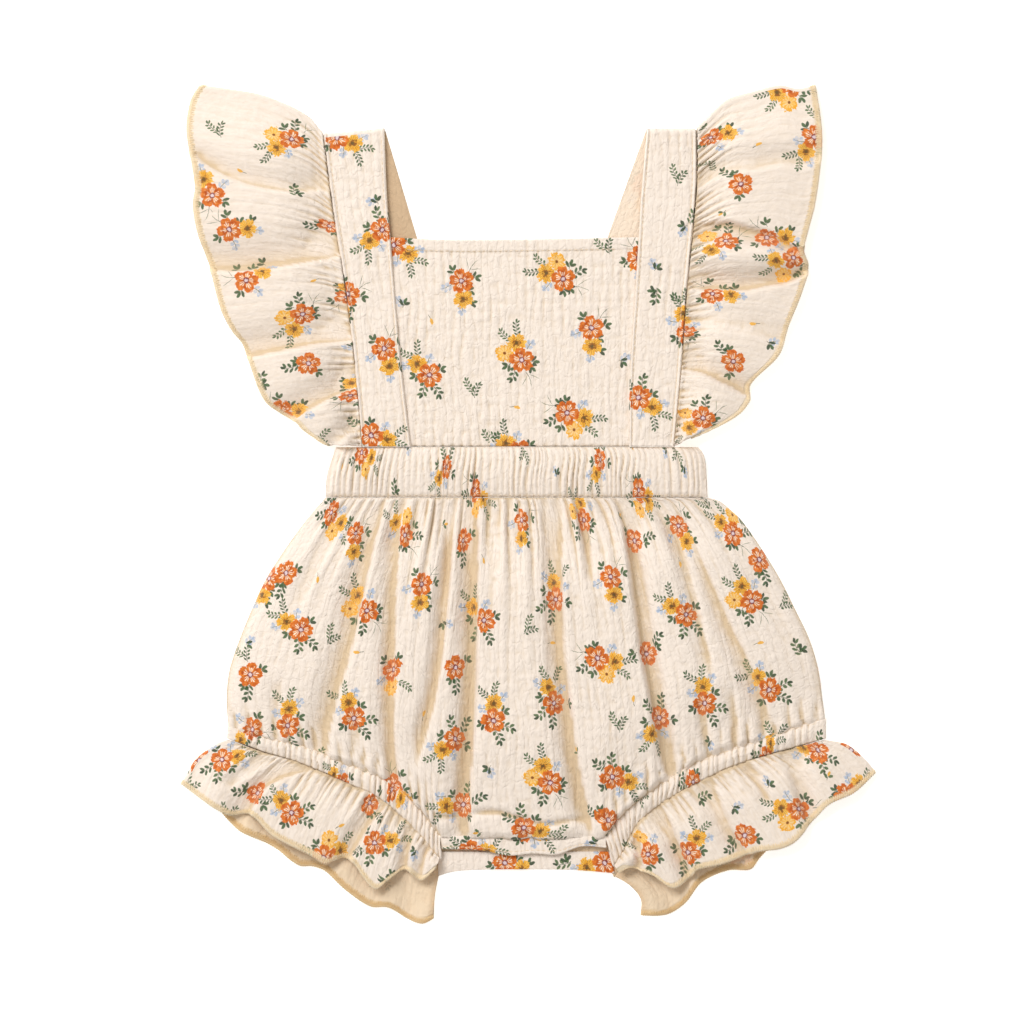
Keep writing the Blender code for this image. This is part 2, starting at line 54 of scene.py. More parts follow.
# %% [markdown]
# ## Camera, light and table
# A garment that is laid flat is pictured from straight above with a long lens, so that nothing
# leans. The light is a wide soft one from the upper left over an even white surround, which leaves
# folds gently shaded and warm, because the cloth lights itself from both walls of each fold.

# %% Camera
scene = bpy.context.scene
PICTURE_WIDTH = 542.7  # width of cloth that the picture takes in
PICTURE_MIDDLE = (-3.2, -3.7)
PICTURE_LEVEL = 8.0  # height of the cloth for which the width holds
LENS = 200.0
SENSOR = 36.0

camera_data = bpy.data.cameras.new("camera")
camera_data.lens = LENS
camera_data.sensor_width = SENSOR
camera = bpy.data.objects.new("camera", camera_data)
distance = PICTURE_WIDTH * LENS / SENSOR
camera.location = Vector((*PICTURE_MIDDLE, distance + PICTURE_LEVEL)) * MM
scene.collection.objects.link(camera)
scene.camera = camera
print(f"camera {distance / 1000:.2f} m above the table")

# %% Light
scene.view_settings.view_transform = "Standard"
scene.view_settings.look = "None"
world = bpy.data.worlds.new("surround")
world.use_nodes = True
surround = world.node_tree.nodes["Background"].inputs
surround["Color"].default_value = (1.0, 0.958, 0.9, 1)
surround["Strength"].default_value = 0.565
scene.world = world


def soft_light(name, place, size, power, colour):
    """A square area light at place, in metres, that faces the middle of the table."""
    data = bpy.data.lights.new(name, "AREA")
    data.size = size
    data.energy = power
    data.color = colour
    light = bpy.data.objects.new(name, data)
    light.location = place
    light.rotation_mode = "QUATERNION"
    light.rotation_quaternion = (-Vector(place)).to_track_quat("-Z", "Y")
    scene.collection.objects.link(light)


soft_light("window", place=(-1.46, 1.56, 2.4), size=1.5, power=73.0, colour=(1.0, 0.99, 0.975))
print("lights:", [o.name for o in scene.objects if o.type == "LIGHT"])

# %% Table
table = bmesh.new()
bmesh.ops.create_grid(table, x_segments=1, y_segments=1, size=6.0)
bmesh.ops.translate(table, verts=table.verts[:], vec=(0, 0, -0.0004))
table_mesh = bpy.data.meshes.new("table")
table.to_mesh(table_mesh)
table.free()
table_top = bpy.data.objects.new("table", table_mesh)
scene.collection.objects.link(table_top)
white = bpy.data.materials.new("white_table")
white.use_nodes = True
paint = white.node_tree.nodes["Principled BSDF"]
paint.inputs["Base Color"].default_value = (0.93, 0.93, 0.93, 1)
paint.inputs["Roughness"].default_value = 0.9
paint.inputs["Specular IOR Level"].default_value = 0.0
paint.inputs["Emission Color"].default_value = (1, 1, 1, 1)
paint.inputs["Emission Strength"].default_value = 0.55
table_mesh.materials.append(white)
print("table", table_top.dimensions.x, "m wide")

# %% [markdown]
# ## Curves and soft steps
# Each piece of cloth is placed by two numbers, how far along it and how far across it a point is.
# A few small functions turn the outline of a piece into such a surface. They work on whole arrays
# of numbers at once, so a piece may have tens of thousands of points and still be made at once.

# %% Curves in plan


def lengths(line):
    """How far along a line of points each of them lies."""
    return np.append(0, np.cumsum(np.linalg.norm(np.diff(line, axis=0), axis=1)))


def path(points):
    """A smooth curve through points in plan, as a function of 0 to 1 along its length."""
    points = np.array(points, float)
    marks = lengths(points)
    last = len(points) - 1
    low = np.maximum(np.arange(last + 1) - 1, 0)
    high = np.minimum(np.arange(last + 1) + 1, last)
    slopes = (points[high] - points[low]) / (marks[high] - marks[low])[:, None]

    def at(t):
        along = np.clip(t, 0, 1) * marks[-1]
        i = np.clip(np.searchsorted(marks, along) - 1, 0, last - 1)
        span = marks[i + 1] - marks[i]
        f = (along - marks[i]) / span
        rise = (f * f * (3 - 2 * f))[..., None]
        leave = (f * (1 - f) ** 2 * span)[..., None]
        arrive = (f * f * (f - 1) * span)[..., None]
        between = points[i] + (points[i + 1] - points[i]) * rise
        return between + slopes[i] * leave + slopes[i + 1] * arrive

    return at


def straight(first, last):
    """A straight line between two points in plan, as a function of 0 to 1."""
    first = np.array(first, float)
    last = np.array(last, float)
    return lambda t: first + (last - first) * np.asarray(t, float)[..., None]


def moved(curve, dx=0.0, dy=0.0):
    """A curve set aside in plan."""
    return lambda t: curve(t) + (dx, dy)


def patch(seam, edge, start, end):
    """The plan surface between four curves: seam and edge run along it, start and end across it."""
    corners = [curve(t) for curve in (seam, edge) for t in (0, 1)]

    def at(u, v):
        across = v[..., None]
        along = u[..., None]
        ruled = seam(u) * (1 - across) + edge(u) * across
        sides = start(v) * (1 - along) + end(v) * along
        top = corners[0] * (1 - along) + corners[1] * along
        low = corners[2] * (1 - along) + corners[3] * along
        return ruled + sides - top * (1 - across) - low * across

    return at


print("a curve's middle:", path([(0, 0), (10, 5), (20, 0)])(0.5))

# %% Soft steps and uneven waves


def ease(t):
    """0 below 0, 1 above 1 and smooth between."""
    t = np.clip(t, 0, 1)
    return t * t * (3 - 2 * t)


def at_least(value, floor, blend):
    """value, eased so that it never falls below floor."""
    return floor + blend * np.logaddexp(0, (value - floor) / blend)


def uneven(p, twist):
    """Even steps made a little uneven, so that no two gathers are the same width."""
    fade = np.sin(np.pi * p)
    return p + fade * (0.007 * np.sin(9 * np.pi * p + twist) + 0.004 * np.sin(23 * np.pi * p + 2 * twist))


def gather(p, count, size, twist=0.0):
    """Height of the small gathers along a seam, of uneven size."""
    share = 0.75 + 0.25 * np.sin(7.3 * np.pi * p + twist) * np.sin(17.1 * np.pi * p)
    return size * share * np.cos(2 * np.pi * count * p)


def scatter(i, j, seed):
    """A number from 0 to 1 for each pair of whole numbers, the same in every run."""
    n = (i * 374761393 + j * 668265263 + seed * 974634777) & 0xFFFFFFFF
    n = ((n ^ (n >> 13)) * 1274126177) & 0xFFFFFFFF
    return ((n ^ (n >> 16)) & 0xFFFF) / 65535.0


def waves(x, y, seed):
    """Smooth uneven waves from -1 to 1, about one to each unit of x and y."""
    i = np.floor(x).astype(np.int64)
    j = np.floor(y).astype(np.int64)
    f = ease(x - i)
    g = ease(y - j)
    low = scatter(i, j, seed) * (1 - f) + scatter(i + 1, j, seed) * f
    high = scatter(i, j + 1, seed) * (1 - f) + scatter(i + 1, j + 1, seed) * f
    return 2 * (low * (1 - g) + high * g) - 1


print("waves at three places:", waves(np.array([0.2, 1.7, 9.4]), np.array([0.5, 2.1, 3.3]), 1).round(2))

# %% [markdown]
# ## Form of gathered cloth
# Gathered cloth has three sizes of relief. Large folds run from a seam towards the free edge, and a
# small table gives each one's place, depth and width, because they are all different. Small gathers
# crowd along the seam and fade out. Over all of it lies the crinkle that double gauze gets in the
# wash: soft columns about 5 mm wide along the cloth, broken by puckers.

# %% Folds and crinkle
# seam and edge: where along the piece the fold starts and ends (0 to 1); bow: how far it bends between;
# start and end: where across the piece it lies (0 seam, 1 edge); depth: of the trough, a ridge is
# negative; low and high: its half widths.
Fold = namedtuple("Fold", "seam edge bow start end depth low high")
CRINKLE_WIDTH = 4.9


def folds_at(folds, length, u, v):
    """Height that the folds add at (u, v) of a piece that is `length` long there."""
    height = np.zeros_like(u)
    for fold in folds:
        centre = fold.seam + (fold.edge - fold.seam) * v + fold.bow * 4 * v * (1 - v)
        apart = (u - centre) * length
        crisp = np.where((apart < 0) == (fold.low < fold.high), 3.6, 2.0)  # the narrower side is steeper
        apart = apart / np.where(apart < 0, fold.low, fold.high)
        shown = ease((v - fold.start) / 0.12 + 1) * ease((fold.end - v) / 0.16 + 1)
        height -= fold.depth * np.exp(-np.abs(apart) ** crisp) * shown
    return height * (0.3 + 0.7 * ease(v / 0.14))


def crinkle(s, t, size, seed):
    """Relief of crinkled double gauze: small pillows in columns along t, with s across them."""
    s = s + 1.5 * waves(s / 11, t / 26, seed) + 0.6 * waves(s / 4, t / 9, seed + 1)
    column = np.floor(s / CRINKLE_WIDTH)
    t = t + 1.2 * waves(s / 16, t / 14, seed + 4)
    pillow = np.abs(np.sin(np.pi * s / CRINKLE_WIDTH)) ** 0.5
    across = np.abs(np.sin(np.pi * t / CRINKLE_WIDTH)) ** 0.5
    strength = 0.6 + 0.5 * waves(s / 9, t / 15, seed + 2)
    pucker = waves(column * 3.7, t / 4.0, seed + 3) * pillow
    return size * (strength * (pillow * (0.55 + 0.45 * across) - 0.5) + 0.34 * pucker)


print("crinkle across 12 mm:", crinkle(np.arange(0.0, 12.0, 2.0), np.zeros(6), 0.3, 5).round(2))

# %% [markdown]
# ## A shell of cloth
# Each piece is one closed thin shell. It starts from a flat grid, which an extrusion doubles, so
# that there is an outer face, an inner face and the cut edge between them. Each point remembers
# its place in the grid, and two arrays of points give the places of both faces. A UV map is then
# laid on from the same grid: one for baking, and one that measures the cloth itself.

# %% Shell of cloth
BAKE_MAP = "OFBake"
CLOTH_MAP = "cloth"
CUT = 0.012  # space between two islands of the bake's map


def shell(name, outer, inner):
    """A closed shell of cloth between two grids of points, in millimetres."""
    rows, columns = outer.shape[0] - 1, outer.shape[1] - 1
    shape = bmesh.new()
    spot = shape.verts.layers.int.new("spot")
    side = shape.verts.layers.int.new("side")
    bmesh.ops.create_grid(shape, x_segments=columns, y_segments=rows, size=0.5)
    for vert in shape.verts:
        column = round((vert.co.x + 0.5) * columns)
        vert[spot] = round((vert.co.y + 0.5) * rows) * (columns + 1) + column
    doubled = bmesh.ops.extrude_face_region(shape, geom=shape.faces[:], use_keep_orig=True)
    for item in doubled["geom"]:
        if isinstance(item, bmesh.types.BMVert):
            item[side] = 1
    grids = [(grid.reshape(-1, 3) * MM).tolist() for grid in (inner, outer)]
    for vert in shape.verts:
        vert.co = grids[vert[side]][vert[spot]]
    bmesh.ops.recalc_face_normals(shape, faces=shape.faces[:])
    if shape.calc_volume(signed=True) < 0:
        bmesh.ops.reverse_faces(shape, faces=shape.faces[:])
    mesh = bpy.data.meshes.new(name)
    shape.to_mesh(mesh)
    shape.free()
    mesh.shade_smooth()
    obj = bpy.data.objects.new(name, mesh)
    scene.collection.objects.link(obj)
    return obj


def numbers(items, name, kind=np.int32):
    """One number of each item of a mesh, as an array."""
    found = np.empty(len(items), kind)
    items.foreach_get(name, found)
    return found


def corners(mesh, columns):
    """For each face corner: its cell's row and column in the grid, which corner of the cell it is
    (0 to 3), and whether its face is inner, outer or an edge (0, 1 or 2)."""
    vertex = numbers(mesh.loops, "vertex_index")
    face = np.repeat(np.arange(len(mesh.polygons)), 4)
    spot = numbers(mesh.attributes["spot"].data, "value")[vertex]
    outer = numbers(mesh.attributes["side"].data, "value")[vertex].reshape(-1, 4).sum(1)
    first = spot.reshape(-1, 4).min(1)
    wide = columns + 1
    row, column = first // wide, first % wide
    rows = spot.max() // wide
    inside_row = np.minimum(row, rows - 1)
    inside_column = np.minimum(column, columns - 1)
    apart = spot - (inside_row * wide + inside_column)[face]
    corner = np.where(apart >= wide, apart - wide + 2, apart)
    kind = np.where(outer == 4, 1, np.where(outer == 0, 0, 2))
    return inside_row[face], inside_column[face], corner, kind[face]


def add_map(mesh, name, places):
    """A UV map with a place for each face corner."""
    layer = mesh.uv_layers.new(name=name, do_init=False)
    layer.uv.foreach_set("vector", places.astype(np.float32).ravel())


def on_cloth(pc, row, column, lift=0.0):
    """Places on a piece's outer face at fractions of its grid, raised by lift."""
    row = np.clip(row, 0, pc.outer.shape[0] - 1.001)
    column = np.clip(column, 0, pc.outer.shape[1] - 1.001)
    r, c = np.floor(row).astype(int), np.floor(column).astype(int)
    f, g = (row - r)[..., None], (column - c)[..., None]
    found = []
    for grid in (pc.outer, pc.inner):
        low = grid[r, c] * (1 - g) + grid[r, c + 1] * g
        high = grid[r + 1, c] * (1 - g) + grid[r + 1, c + 1] * g
        found.append(low * (1 - f) + high * f)
    outward = found[0] - found[1]
    return found[0] + outward / np.maximum(np.linalg.norm(outward, axis=-1, keepdims=True), 1e-6) * lift


print("maps of each piece:", BAKE_MAP, "for the bake,", CLOTH_MAP, "for the crinkle")

# %% [markdown]
# ## The pattern of the romper
# These are the sizes and outlines of the pieces as they lie, from the same measures as the CAD
# part. Left is the side at -X. Folds are listed piece by piece, from one end of the seam to the
# other.

# %% Sizes and levels
CLOTH = 1.0  # wall of one layer in the solids
BAND = 1.6  # wall of a strap, back casing or crotch strip
CASING = 1.3  # wall of a gathered casing
SEAM = 0.3  # clearance between two pieces
THIN = 0.7  # real thickness of one layer of double gauze
DOUBLE = 1.2  # and of a strip that is folded double
LAP = 5.0  # width of bib that lies under a strap
WAIST_TOP = 30.7  # height along Y of the waistband's upper edge
WAIST_LOW = 4.2  # and of its lower edge
CROTCH_Y = -176.5  # lower edge of the front panel between the legs
CROTCH_CREASE = -166.0  # the crease that lies across the panel above it
PUFF = 9.2  # height that the gathered front stands off the back
BACK_DROP = 9.0  # how much further down the back reaches than the front at the crotch
BAND_DROP = 6.0  # and than the front of a leg band's lower edge there
BIB_SHARE = 0.658  # share of a strap's front length that the bib reaches
FIRST = 0.355  # share of a shorts panel's lower edge at which the left leg band ends
LAST = 0.63  # and at which the right one starts
STRAP_BACK = BAND
BIB_UNDER = STRAP_BACK + SEAM
STRAP_UNDER = BIB_UNDER + CLOTH + SEAM
BIB_STITCHES = 6.3  # how far under its edge the bib's hem is stitched down
STRAP_STITCHES = {"outer": 2.4, "inner": 1.7}  # how far in from its edges a strap is
print("upper sides of the layers at a strap:", [round(z, 1) for z in (STRAP_BACK, BIB_UNDER, STRAP_UNDER)])

# %% Outlines of the top
STRAP_OUTER = {
    "left": [(-83.2, 31.0), (-88.0, 84.8), (-93.3, 124.6), (-98.6, 157.9), (-103.6, 197.4)],
    "right": [(83.2, 31.0), (86.9, 71.5), (89.6, 111.3), (92.2, 137.8), (94.9, 171.2), (94.9, 200.0)],
}
STRAP_INNER = {
    "left": [(-56.7, 31.0), (-61.5, 71.5), (-65.2, 111.3), (-67.3, 138.3), (-69.4, 163.0), (-71.0, 200.5)],
    "right": [(58.8, 31.0), (59.4, 71.5), (62.0, 111.3), (64.1, 144.7), (65.2, 164.3), (68.4, 200.2)],
}
STRAP_BACK_WAIST = {"left": (-48.9, -20.9), "right": (35.4, 7.4)}  # X of its outer and inner edge
BIB_TOP = [(-72.3, 139.9), (-40.0, 139.0), (-9.5, 139.6), (30.0, 141.0), (69.1, 142.6)]
FLUTTER_HEM = {
    "left": [
        (-102.3, 31.8), (-114.0, 39.8), (-118.0, 44.2), (-126.0, 48.7), (-134.6, 55.7), (-143.8, 79.0),
        (-146.6, 86.0), (-151.8, 92.4), (-157.4, 103.4), (-163.8, 127.2), (-169.6, 143.1), (-172.4, 159.0),
        (-171.2, 168.0), (-172.9, 181.0), (-175.7, 198.8), (-173.6, 214.7), (-168.5, 223.6),
    ],
    "right": [
        (92.0, 35.8), (102.3, 39.8), (116.6, 47.7), (123.0, 55.7), (123.4, 64.0),
        (138.3, 79.5), (143.6, 95.4), (150.0, 111.3), (154.2, 127.2), (151.6, 135.2),
        (153.2, 143.1), (157.3, 159.0), (160.6, 182.9), (161.0, 200.0), (157.9, 223.6),
    ],
}
FLUTTER_TOP = {
    "left": [(-103.8, 197.4), (-112.4, 207.2), (-134.1, 217.4), (-152.0, 221.2), (-168.5, 223.6)],
    "right": [
        (95.3, 200.0), (101.0, 206.4), (111.3, 215.6), (124.0, 219.6), (138.9, 223.4), (149.0, 221.6),
        (157.9, 223.6),
    ],
}
FLUTTER_BACK_HEM = {
    "left": [
        (-68.0, 33.0), (-112.0, 75.0), (-138.0, 117.0), (-160.0, 160.0), (-168.0, 200.0), (-168.5, 223.6),
    ],
    "right": [
        (54.0, 33.0), (98.0, 75.0), (126.0, 117.0), (147.0, 160.0), (156.0, 200.0), (157.9, 223.6),
    ],
}
print("flutters reach", FLUTTER_HEM["left"][-1][1], "and", FLUTTER_HEM["right"][-1][1])

# %% Outlines of the waist, shorts and legs
WAIST_END = {
    "left": [(-96.5, 30.7), (-99.1, 24.0), (-101.6, 15.0), (-102.3, 4.2)],
    "right": [(95.6, 30.7), (97.8, 28.4), (99.4, 24.0), (100.2, 15.0), (100.7, 4.2)],
}
SHORTS_SIDE = {
    "left": [
        (-102.3, 3.9), (-112.4, -8.0), (-124.0, -23.9), (-134.1, -39.8), (-141.5, -55.7),
        (-147.9, -71.5), (-153.2, -87.5), (-154.8, -103.4), (-153.7, -118.9),
    ],
    "right": [
        (100.7, 3.9), (106.8, 2.3), (113.2, -2.9), (118.6, -8.0), (129.8, -23.9), (139.4, -39.8),
        (147.3, -55.7), (154.8, -71.5), (159.5, -87.5), (161.7, -103.4), (163.2, -114.8),
    ],
}
BAND_UPPER = {
    "left": [
        (-41.3, -176.5), (-53.0, -160.6), (-68.9, -146.8), (-91.2, -137.8), (-116.1, -128.3),
        (-135.7, -123.5), (-153.7, -118.9),
    ],
    "right": [
        (46.1, -176.5), (56.7, -162.7), (79.0, -146.8), (93.3, -138.0), (114.5, -129.8),
        (136.2, -123.0), (147.3, -118.7), (163.2, -114.8),
    ],
}
BAND_LOWER = {
    "left": [
        (-41.3, -188.2), (-51.9, -175.5), (-63.1, -164.3), (-75.5, -154.5), (-91.2, -147.4),
        (-117.1, -136.2), (-134.6, -131.0), (-154.2, -124.0),
    ],
    "right": [
        (51.0, -192.0), (56.7, -182.3), (62.0, -171.2), (73.0, -160.5), (93.3, -148.4),
        (114.5, -138.3), (136.2, -131.4), (163.2, -124.0),
    ],
}
RUFFLE_HEM = {
    "left": [
        (-44.0, -192.9), (-51.9, -198.8), (-59.9, -193.5), (-68.9, -198.8), (-75.5, -203.5),
        (-82.0, -197.2), (-87.0, -190.0), (-92.2, -187.2), (-97.5, -188.6), (-102.3, -190.3),
        (-109.2, -186.0), (-129.8, -175.4), (-142.0, -164.2), (-154.2, -164.3), (-179.1, -147.9),
    ],
    "right": [
        (53.0, -194.5), (60.0, -192.4), (72.1, -196.6), (82.2, -203.0), (90.6, -198.2),
        (94.8, -193.5), (107.6, -190.3), (127.0, -183.8), (139.0, -182.2), (147.0, -178.4), (157.2, -166.6),
        (165.0, -158.6), (178.2, -152.4), (190.0, -142.0),
    ],
}
RUFFLE_BACK_HEM = {
    "left": [
        (-45.1, -219.4), (-50.9, -222.1), (-58.8, -219.4), (-68.9, -213.6), (-78.4, -213.1),
        (-91.2, -204.6), (-102.3, -194.5), (-109.6, -191.8), (-115.5, -191.6), (-121.0, -188.4),
        (-127.0, -183.4), (-134.0, -179.2), (-141.5, -176.0), (-148.0, -172.8), (-154.2, -167.0),
        (-160.0, -160.6), (-168.5, -155.0), (-179.1, -147.9),
    ],
    "right": [
        (65.2, -217.8), (79.0, -217.3), (88.0, -212.0), (97.5, -200.3), (111.8, -194.0),
        (123.5, -193.4), (128.0, -188.0), (133.0, -182.8), (142.0, -178.0), (152.0, -169.5), (157.4, -163.5),
        (165.9, -154.8), (178.6, -150.4), (190.0, -142.0),
    ],
}
RUFFLE_TIP = {
    "left": [(-154.2, -124.6), (-160.6, -127.2), (-171.2, -135.2), (-176.0, -143.1), (-179.1, -147.9)],
    "right": [(163.2, -124.6), (174.4, -127.2), (184.4, -135.2), (190.0, -142.0)],
}
RUFFLE_BACK_START = {
    "left": [(-41.6, -194.8), (-44.0, -206.7), (-45.1, -219.4)],
    "right": [(51.3, -195.8), (59.4, -200.9), (65.5, -209.0), (65.2, -217.8)],
}
CROTCH_FRONT_LOW = [
    (-40.6, -182.5), (-18.6, -183.4), (-5.3, -186.0), (8.0, -185.0), (20.7, -185.5), (33.9, -181.2),
    (46.8, -182.0),
]
CROTCH_BACK_LOW = [
    (-42.4, -197.0), (-34.0, -194.6), (-20.0, -193.6), (2.0, -193.4), (30.0, -193.8), (51.5, -195.5),
]
print("the shorts are", SHORTS_SIDE["right"][-1][0] - SHORTS_SIDE["left"][-1][0], "mm wide at the legs")

# %% Folds of the gathered pieces
SHORTS_FOLDS = [
    Fold(0.095, 0.044, 0.0, 0.00, 0.42, 2.4, 5.5, 3.0),
    Fold(0.146, 0.139, 0.033, 0.10, 0.98, 7.0, 7.4, 2.4),
    Fold(0.197, 0.258, 0.017, 0.20, 1.00, 6.4, 5.2, 2.2),
    Fold(0.315, 0.272, 0.052, 0.06, 0.74, 5.8, 5.2, 2.2),
    Fold(0.383, 0.396, 0.020, 0.00, 0.92, 8.4, 6.6, 2.2),
    Fold(0.600, 0.608, -0.032, 0.05, 0.90, 6.8, 6.2, 2.6),
    Fold(0.660, 0.600, 0.0, 0.00, 0.20, 2.8, 3.4, 2.0),
    Fold(0.698, 0.640, 0.0, 0.00, 0.18, 2.3, 3.2, 2.0),
    Fold(0.771, 0.763, -0.028, 0.00, 0.96, 7.6, 3.4, 5.2),
    Fold(0.844, 0.828, 0.0, 0.00, 0.62, 3.4, 4.4, 2.4),
    Fold(0.871, 0.923, -0.021, 0.05, 1.00, 5.8, 5.2, 2.4),
    Fold(0.964, 1.000, -0.019, 0.10, 0.85, 3.0, 5.5, 3.2),
    Fold(0.800, 0.820, 0.0, 0.84, 1.00, 2.6, 3.2, 2.2),
    Fold(0.850, 0.865, 0.0, 0.86, 1.00, 2.3, 3.0, 2.0),
    Fold(0.075, 0.075, 0.0, 0.84, 1.00, 2.3, 3.2, 2.2),
    Fold(0.200, 0.200, 0.0, 0.88, 1.00, 2.1, 3.0, 2.0),
]
FLUTTER_FOLDS = {
    "left": [
        Fold(0.834, 0.834, -0.076, 0.00, 0.92, 3.4, 3.0, 7.0),
        Fold(0.624, 0.545, -0.035, 0.00, 1.00, 7.2, 3.4, 13.0),
        Fold(0.350, 0.309, -0.006, 0.00, 1.00, 7.2, 3.2, 13.0),
        Fold(0.203, 0.115, -0.005, 0.00, 1.00, 6.4, 3.0, 11.0),
        Fold(0.081, -0.018, 0.0, 0.10, 0.80, 4.1, 4.0, 6.0),
    ],
    "right": [
        Fold(0.838, 0.827, -0.022, 0.00, 0.90, 3.0, 4.0, 7.0),
        Fold(0.677, 0.577, -0.003, 0.00, 1.00, 4.6, 6.0, 2.8),
        Fold(0.590, 0.568, -0.025, 0.00, 1.00, -3.5, 7.0, 7.0),
        Fold(0.518, 0.540, -0.051, 0.00, 1.00, 6.2, 3.0, 7.0),
        Fold(0.403, 0.366, -0.003, 0.00, 1.00, 2.2, 5.0, 8.0),
        Fold(0.263, 0.193, -0.005, 0.00, 1.00, 6.0, 3.0, 8.0),
        Fold(0.080, 0.030, 0.0, 0.00, 0.60, 2.4, 4.0, 6.0),
    ],
}
RUFFLE_FOLDS = {
    "left": [
        Fold(0.650, 0.755, 0.035, 0.00, 1.00, 6.4, 2.2, 10.0),
        Fold(0.800, 0.900, 0.0, 0.00, 0.60, 2.4, 4.0, 5.0),
        Fold(0.325, 0.375, 0.0, 0.10, 1.00, 5.6, 2.2, 7.0),
        Fold(0.170, 0.125, 0.0, 0.10, 1.00, 5.0, 2.4, 4.6),
        Fold(0.080, 0.070, 0.0, 0.10, 1.00, 2.9, 2.4, 3.0),
    ],
    "right": [
        Fold(0.846, 0.730, -0.009, 0.05, 1.00, 5.0, 5.0, 6.0),
        Fold(0.670, 0.600, 0.0, 0.00, 0.45, 2.8, 3.0, 2.4),
        Fold(0.517, 0.468, -0.029, 0.05, 1.00, 4.6, 5.4, 2.6),
        Fold(0.291, 0.263, -0.003, 0.00, 1.00, 5.6, 4.6, 2.4),
        Fold(0.160, 0.060, 0.0, 0.20, 1.00, 4.3, 3.4, 2.6),
    ],
}
print(len(SHORTS_FOLDS), "large folds on the shorts")

# %% [markdown]
# ## Where each piece lies
# Every piece is worked out as a grid of points on its outer face. The formulas are those of the CAD
# solids, with finer relief on top: crisp gathers next to each seam, the sunk line of each row of
# stitches, and the crinkle. The inner face lies under the outer one by the thickness of the cloth.

# %% Grids and fine gathers
Piece = namedtuple("Piece", "outer inner front along across")  # front: how many columns show from the front


def even(count, margin=0.0, extra=0):
    """Places from 0 to 1, with `extra` more of them within `margin` of both ends."""
    middle = np.linspace(margin, 1 - margin, count + 1)
    low = margin * np.linspace(0, 1, extra + 1)[:-1] ** 1.5 if extra else np.array([])
    return np.concatenate([low, middle, 1 - low[::-1]])


def pleats(p, count, size, twist=0.0):
    """Height of crisp gathers: rounded ridges with narrow valleys, of uneven size."""
    share = 0.7 + 0.3 * np.sin(11.3 * np.pi * p + twist) * np.sin(5.1 * np.pi * p + 1)
    return size * share * (2 * np.abs(np.cos(np.pi * count * p + twist)) ** 0.6 - 1.4)


def groove(apart, width, depth):
    """The dip that a row of stitches presses into the cloth."""
    return -depth * np.exp(-((apart / width) ** 2))


def points(xy, z):
    """A grid of places from their plan and their height."""
    return np.concatenate([xy, z[..., None]], axis=2)


def slopes(outer):
    """Unit normals of a grid of points."""
    normal = np.cross(np.gradient(outer, axis=1), np.gradient(outer, axis=0))
    return normal / np.maximum(np.linalg.norm(normal, axis=2, keepdims=True), 1e-9)


def piece(outer, front, thickness=THIN, floor=0.0):
    """A piece from its outer face; its first `front` columns face up, and a negative front faces down."""
    normal = slopes(outer)
    if normal[:, : max(front, 4), 2].mean() * (1 if front > 0 else -1) < 0:
        normal = -normal
    inner = outer - normal * thickness
    inner[..., 2] = np.maximum(inner[..., 2], np.minimum(floor, outer[..., 2]))
    far = []
    for axis in (1, 0):
        steps = np.linalg.norm(np.diff(outer, axis=axis), axis=2)
        start = np.zeros_like(steps[:, :1] if axis else steps[:1])
        far.append(np.concatenate([start, np.cumsum(steps, axis=axis)], axis=axis))
    return Piece(outer, inner, front, *far)


print("fine gathers:", pleats(np.linspace(0, 0.1, 5), 40, 0.5).round(2))

# %% [markdown]
# ### Bib and waistband
# The bib is one flat piece of gauze. A maker turns its top edge under and stitches it down, sews its
# sides under the straps and its lower edge into the waistband. The waistband is a casing, a strip
# folded over elastic, which draws it up into many small gathers. So its ridges stand close and
# crisp, and its two edges, where the layers are sewn together, lie low.

# %% Bib and waistband


def bib_piece():
    """The bib, from the waistband up to its turned hem."""
    left = moved(path(STRAP_INNER["left"]), dx=-LAP)
    right = moved(path(STRAP_INNER["right"]), dx=LAP)
    waist = straight((-61.7, WAIST_TOP - 0.4), (63.8, WAIST_TOP - 0.4))
    plan = patch(waist, path(BIB_TOP), lambda t: left(t * BIB_SHARE), lambda t: right(t * BIB_SHARE))
    u, v = np.meshgrid(even(126), np.append(np.linspace(0, 0.93, 92), np.linspace(0.933, 1, 20)))
    xy = plan(u, v)
    x, y = xy[..., 0], xy[..., 1]
    below = plan(u, np.ones_like(v))[..., 1] - y  # distance under the top edge
    hem = ease((BIB_STITCHES + 0.6 - below) / 0.8)
    clear = ease(np.minimum(u, 1 - u) * 130 / LAP)  # of the straps
    relief = crinkle(x, y, 1.0, 11) * (1 - 0.45 * hem) * (0.35 + 0.65 * clear) - 0.12 * (1 - clear)
    drawn_up = np.sin(2 * np.pi * (x / 2.7 + 0.4 * waves(x / 6, y / 30, 12)))  # by the row of stitches
    pucker = 0.16 * drawn_up * np.exp(-((below - BIB_STITCHES - 0.3) / 3) ** 2)
    gathers = pleats(u, 25, 0.3, 0.6) * ease(1 - v / 0.1)
    z = BIB_UNDER + CLOTH + 0.7 * hem + relief + pucker + gathers + groove(below - BIB_STITCHES, 0.6, 0.35)
    z -= 0.5 * ease(1 - below / 0.7) + 0.5 * ease(1 - v / 0.02)
    return piece(points(xy, z), 126)


def waistband_plan():
    """The plan of both waistbands, from the upper edge to the lower one."""
    left = path(WAIST_END["left"])
    right = path(WAIST_END["right"])
    return patch(straight(left(0), right(0)), straight(left(1), right(1)), left, right)


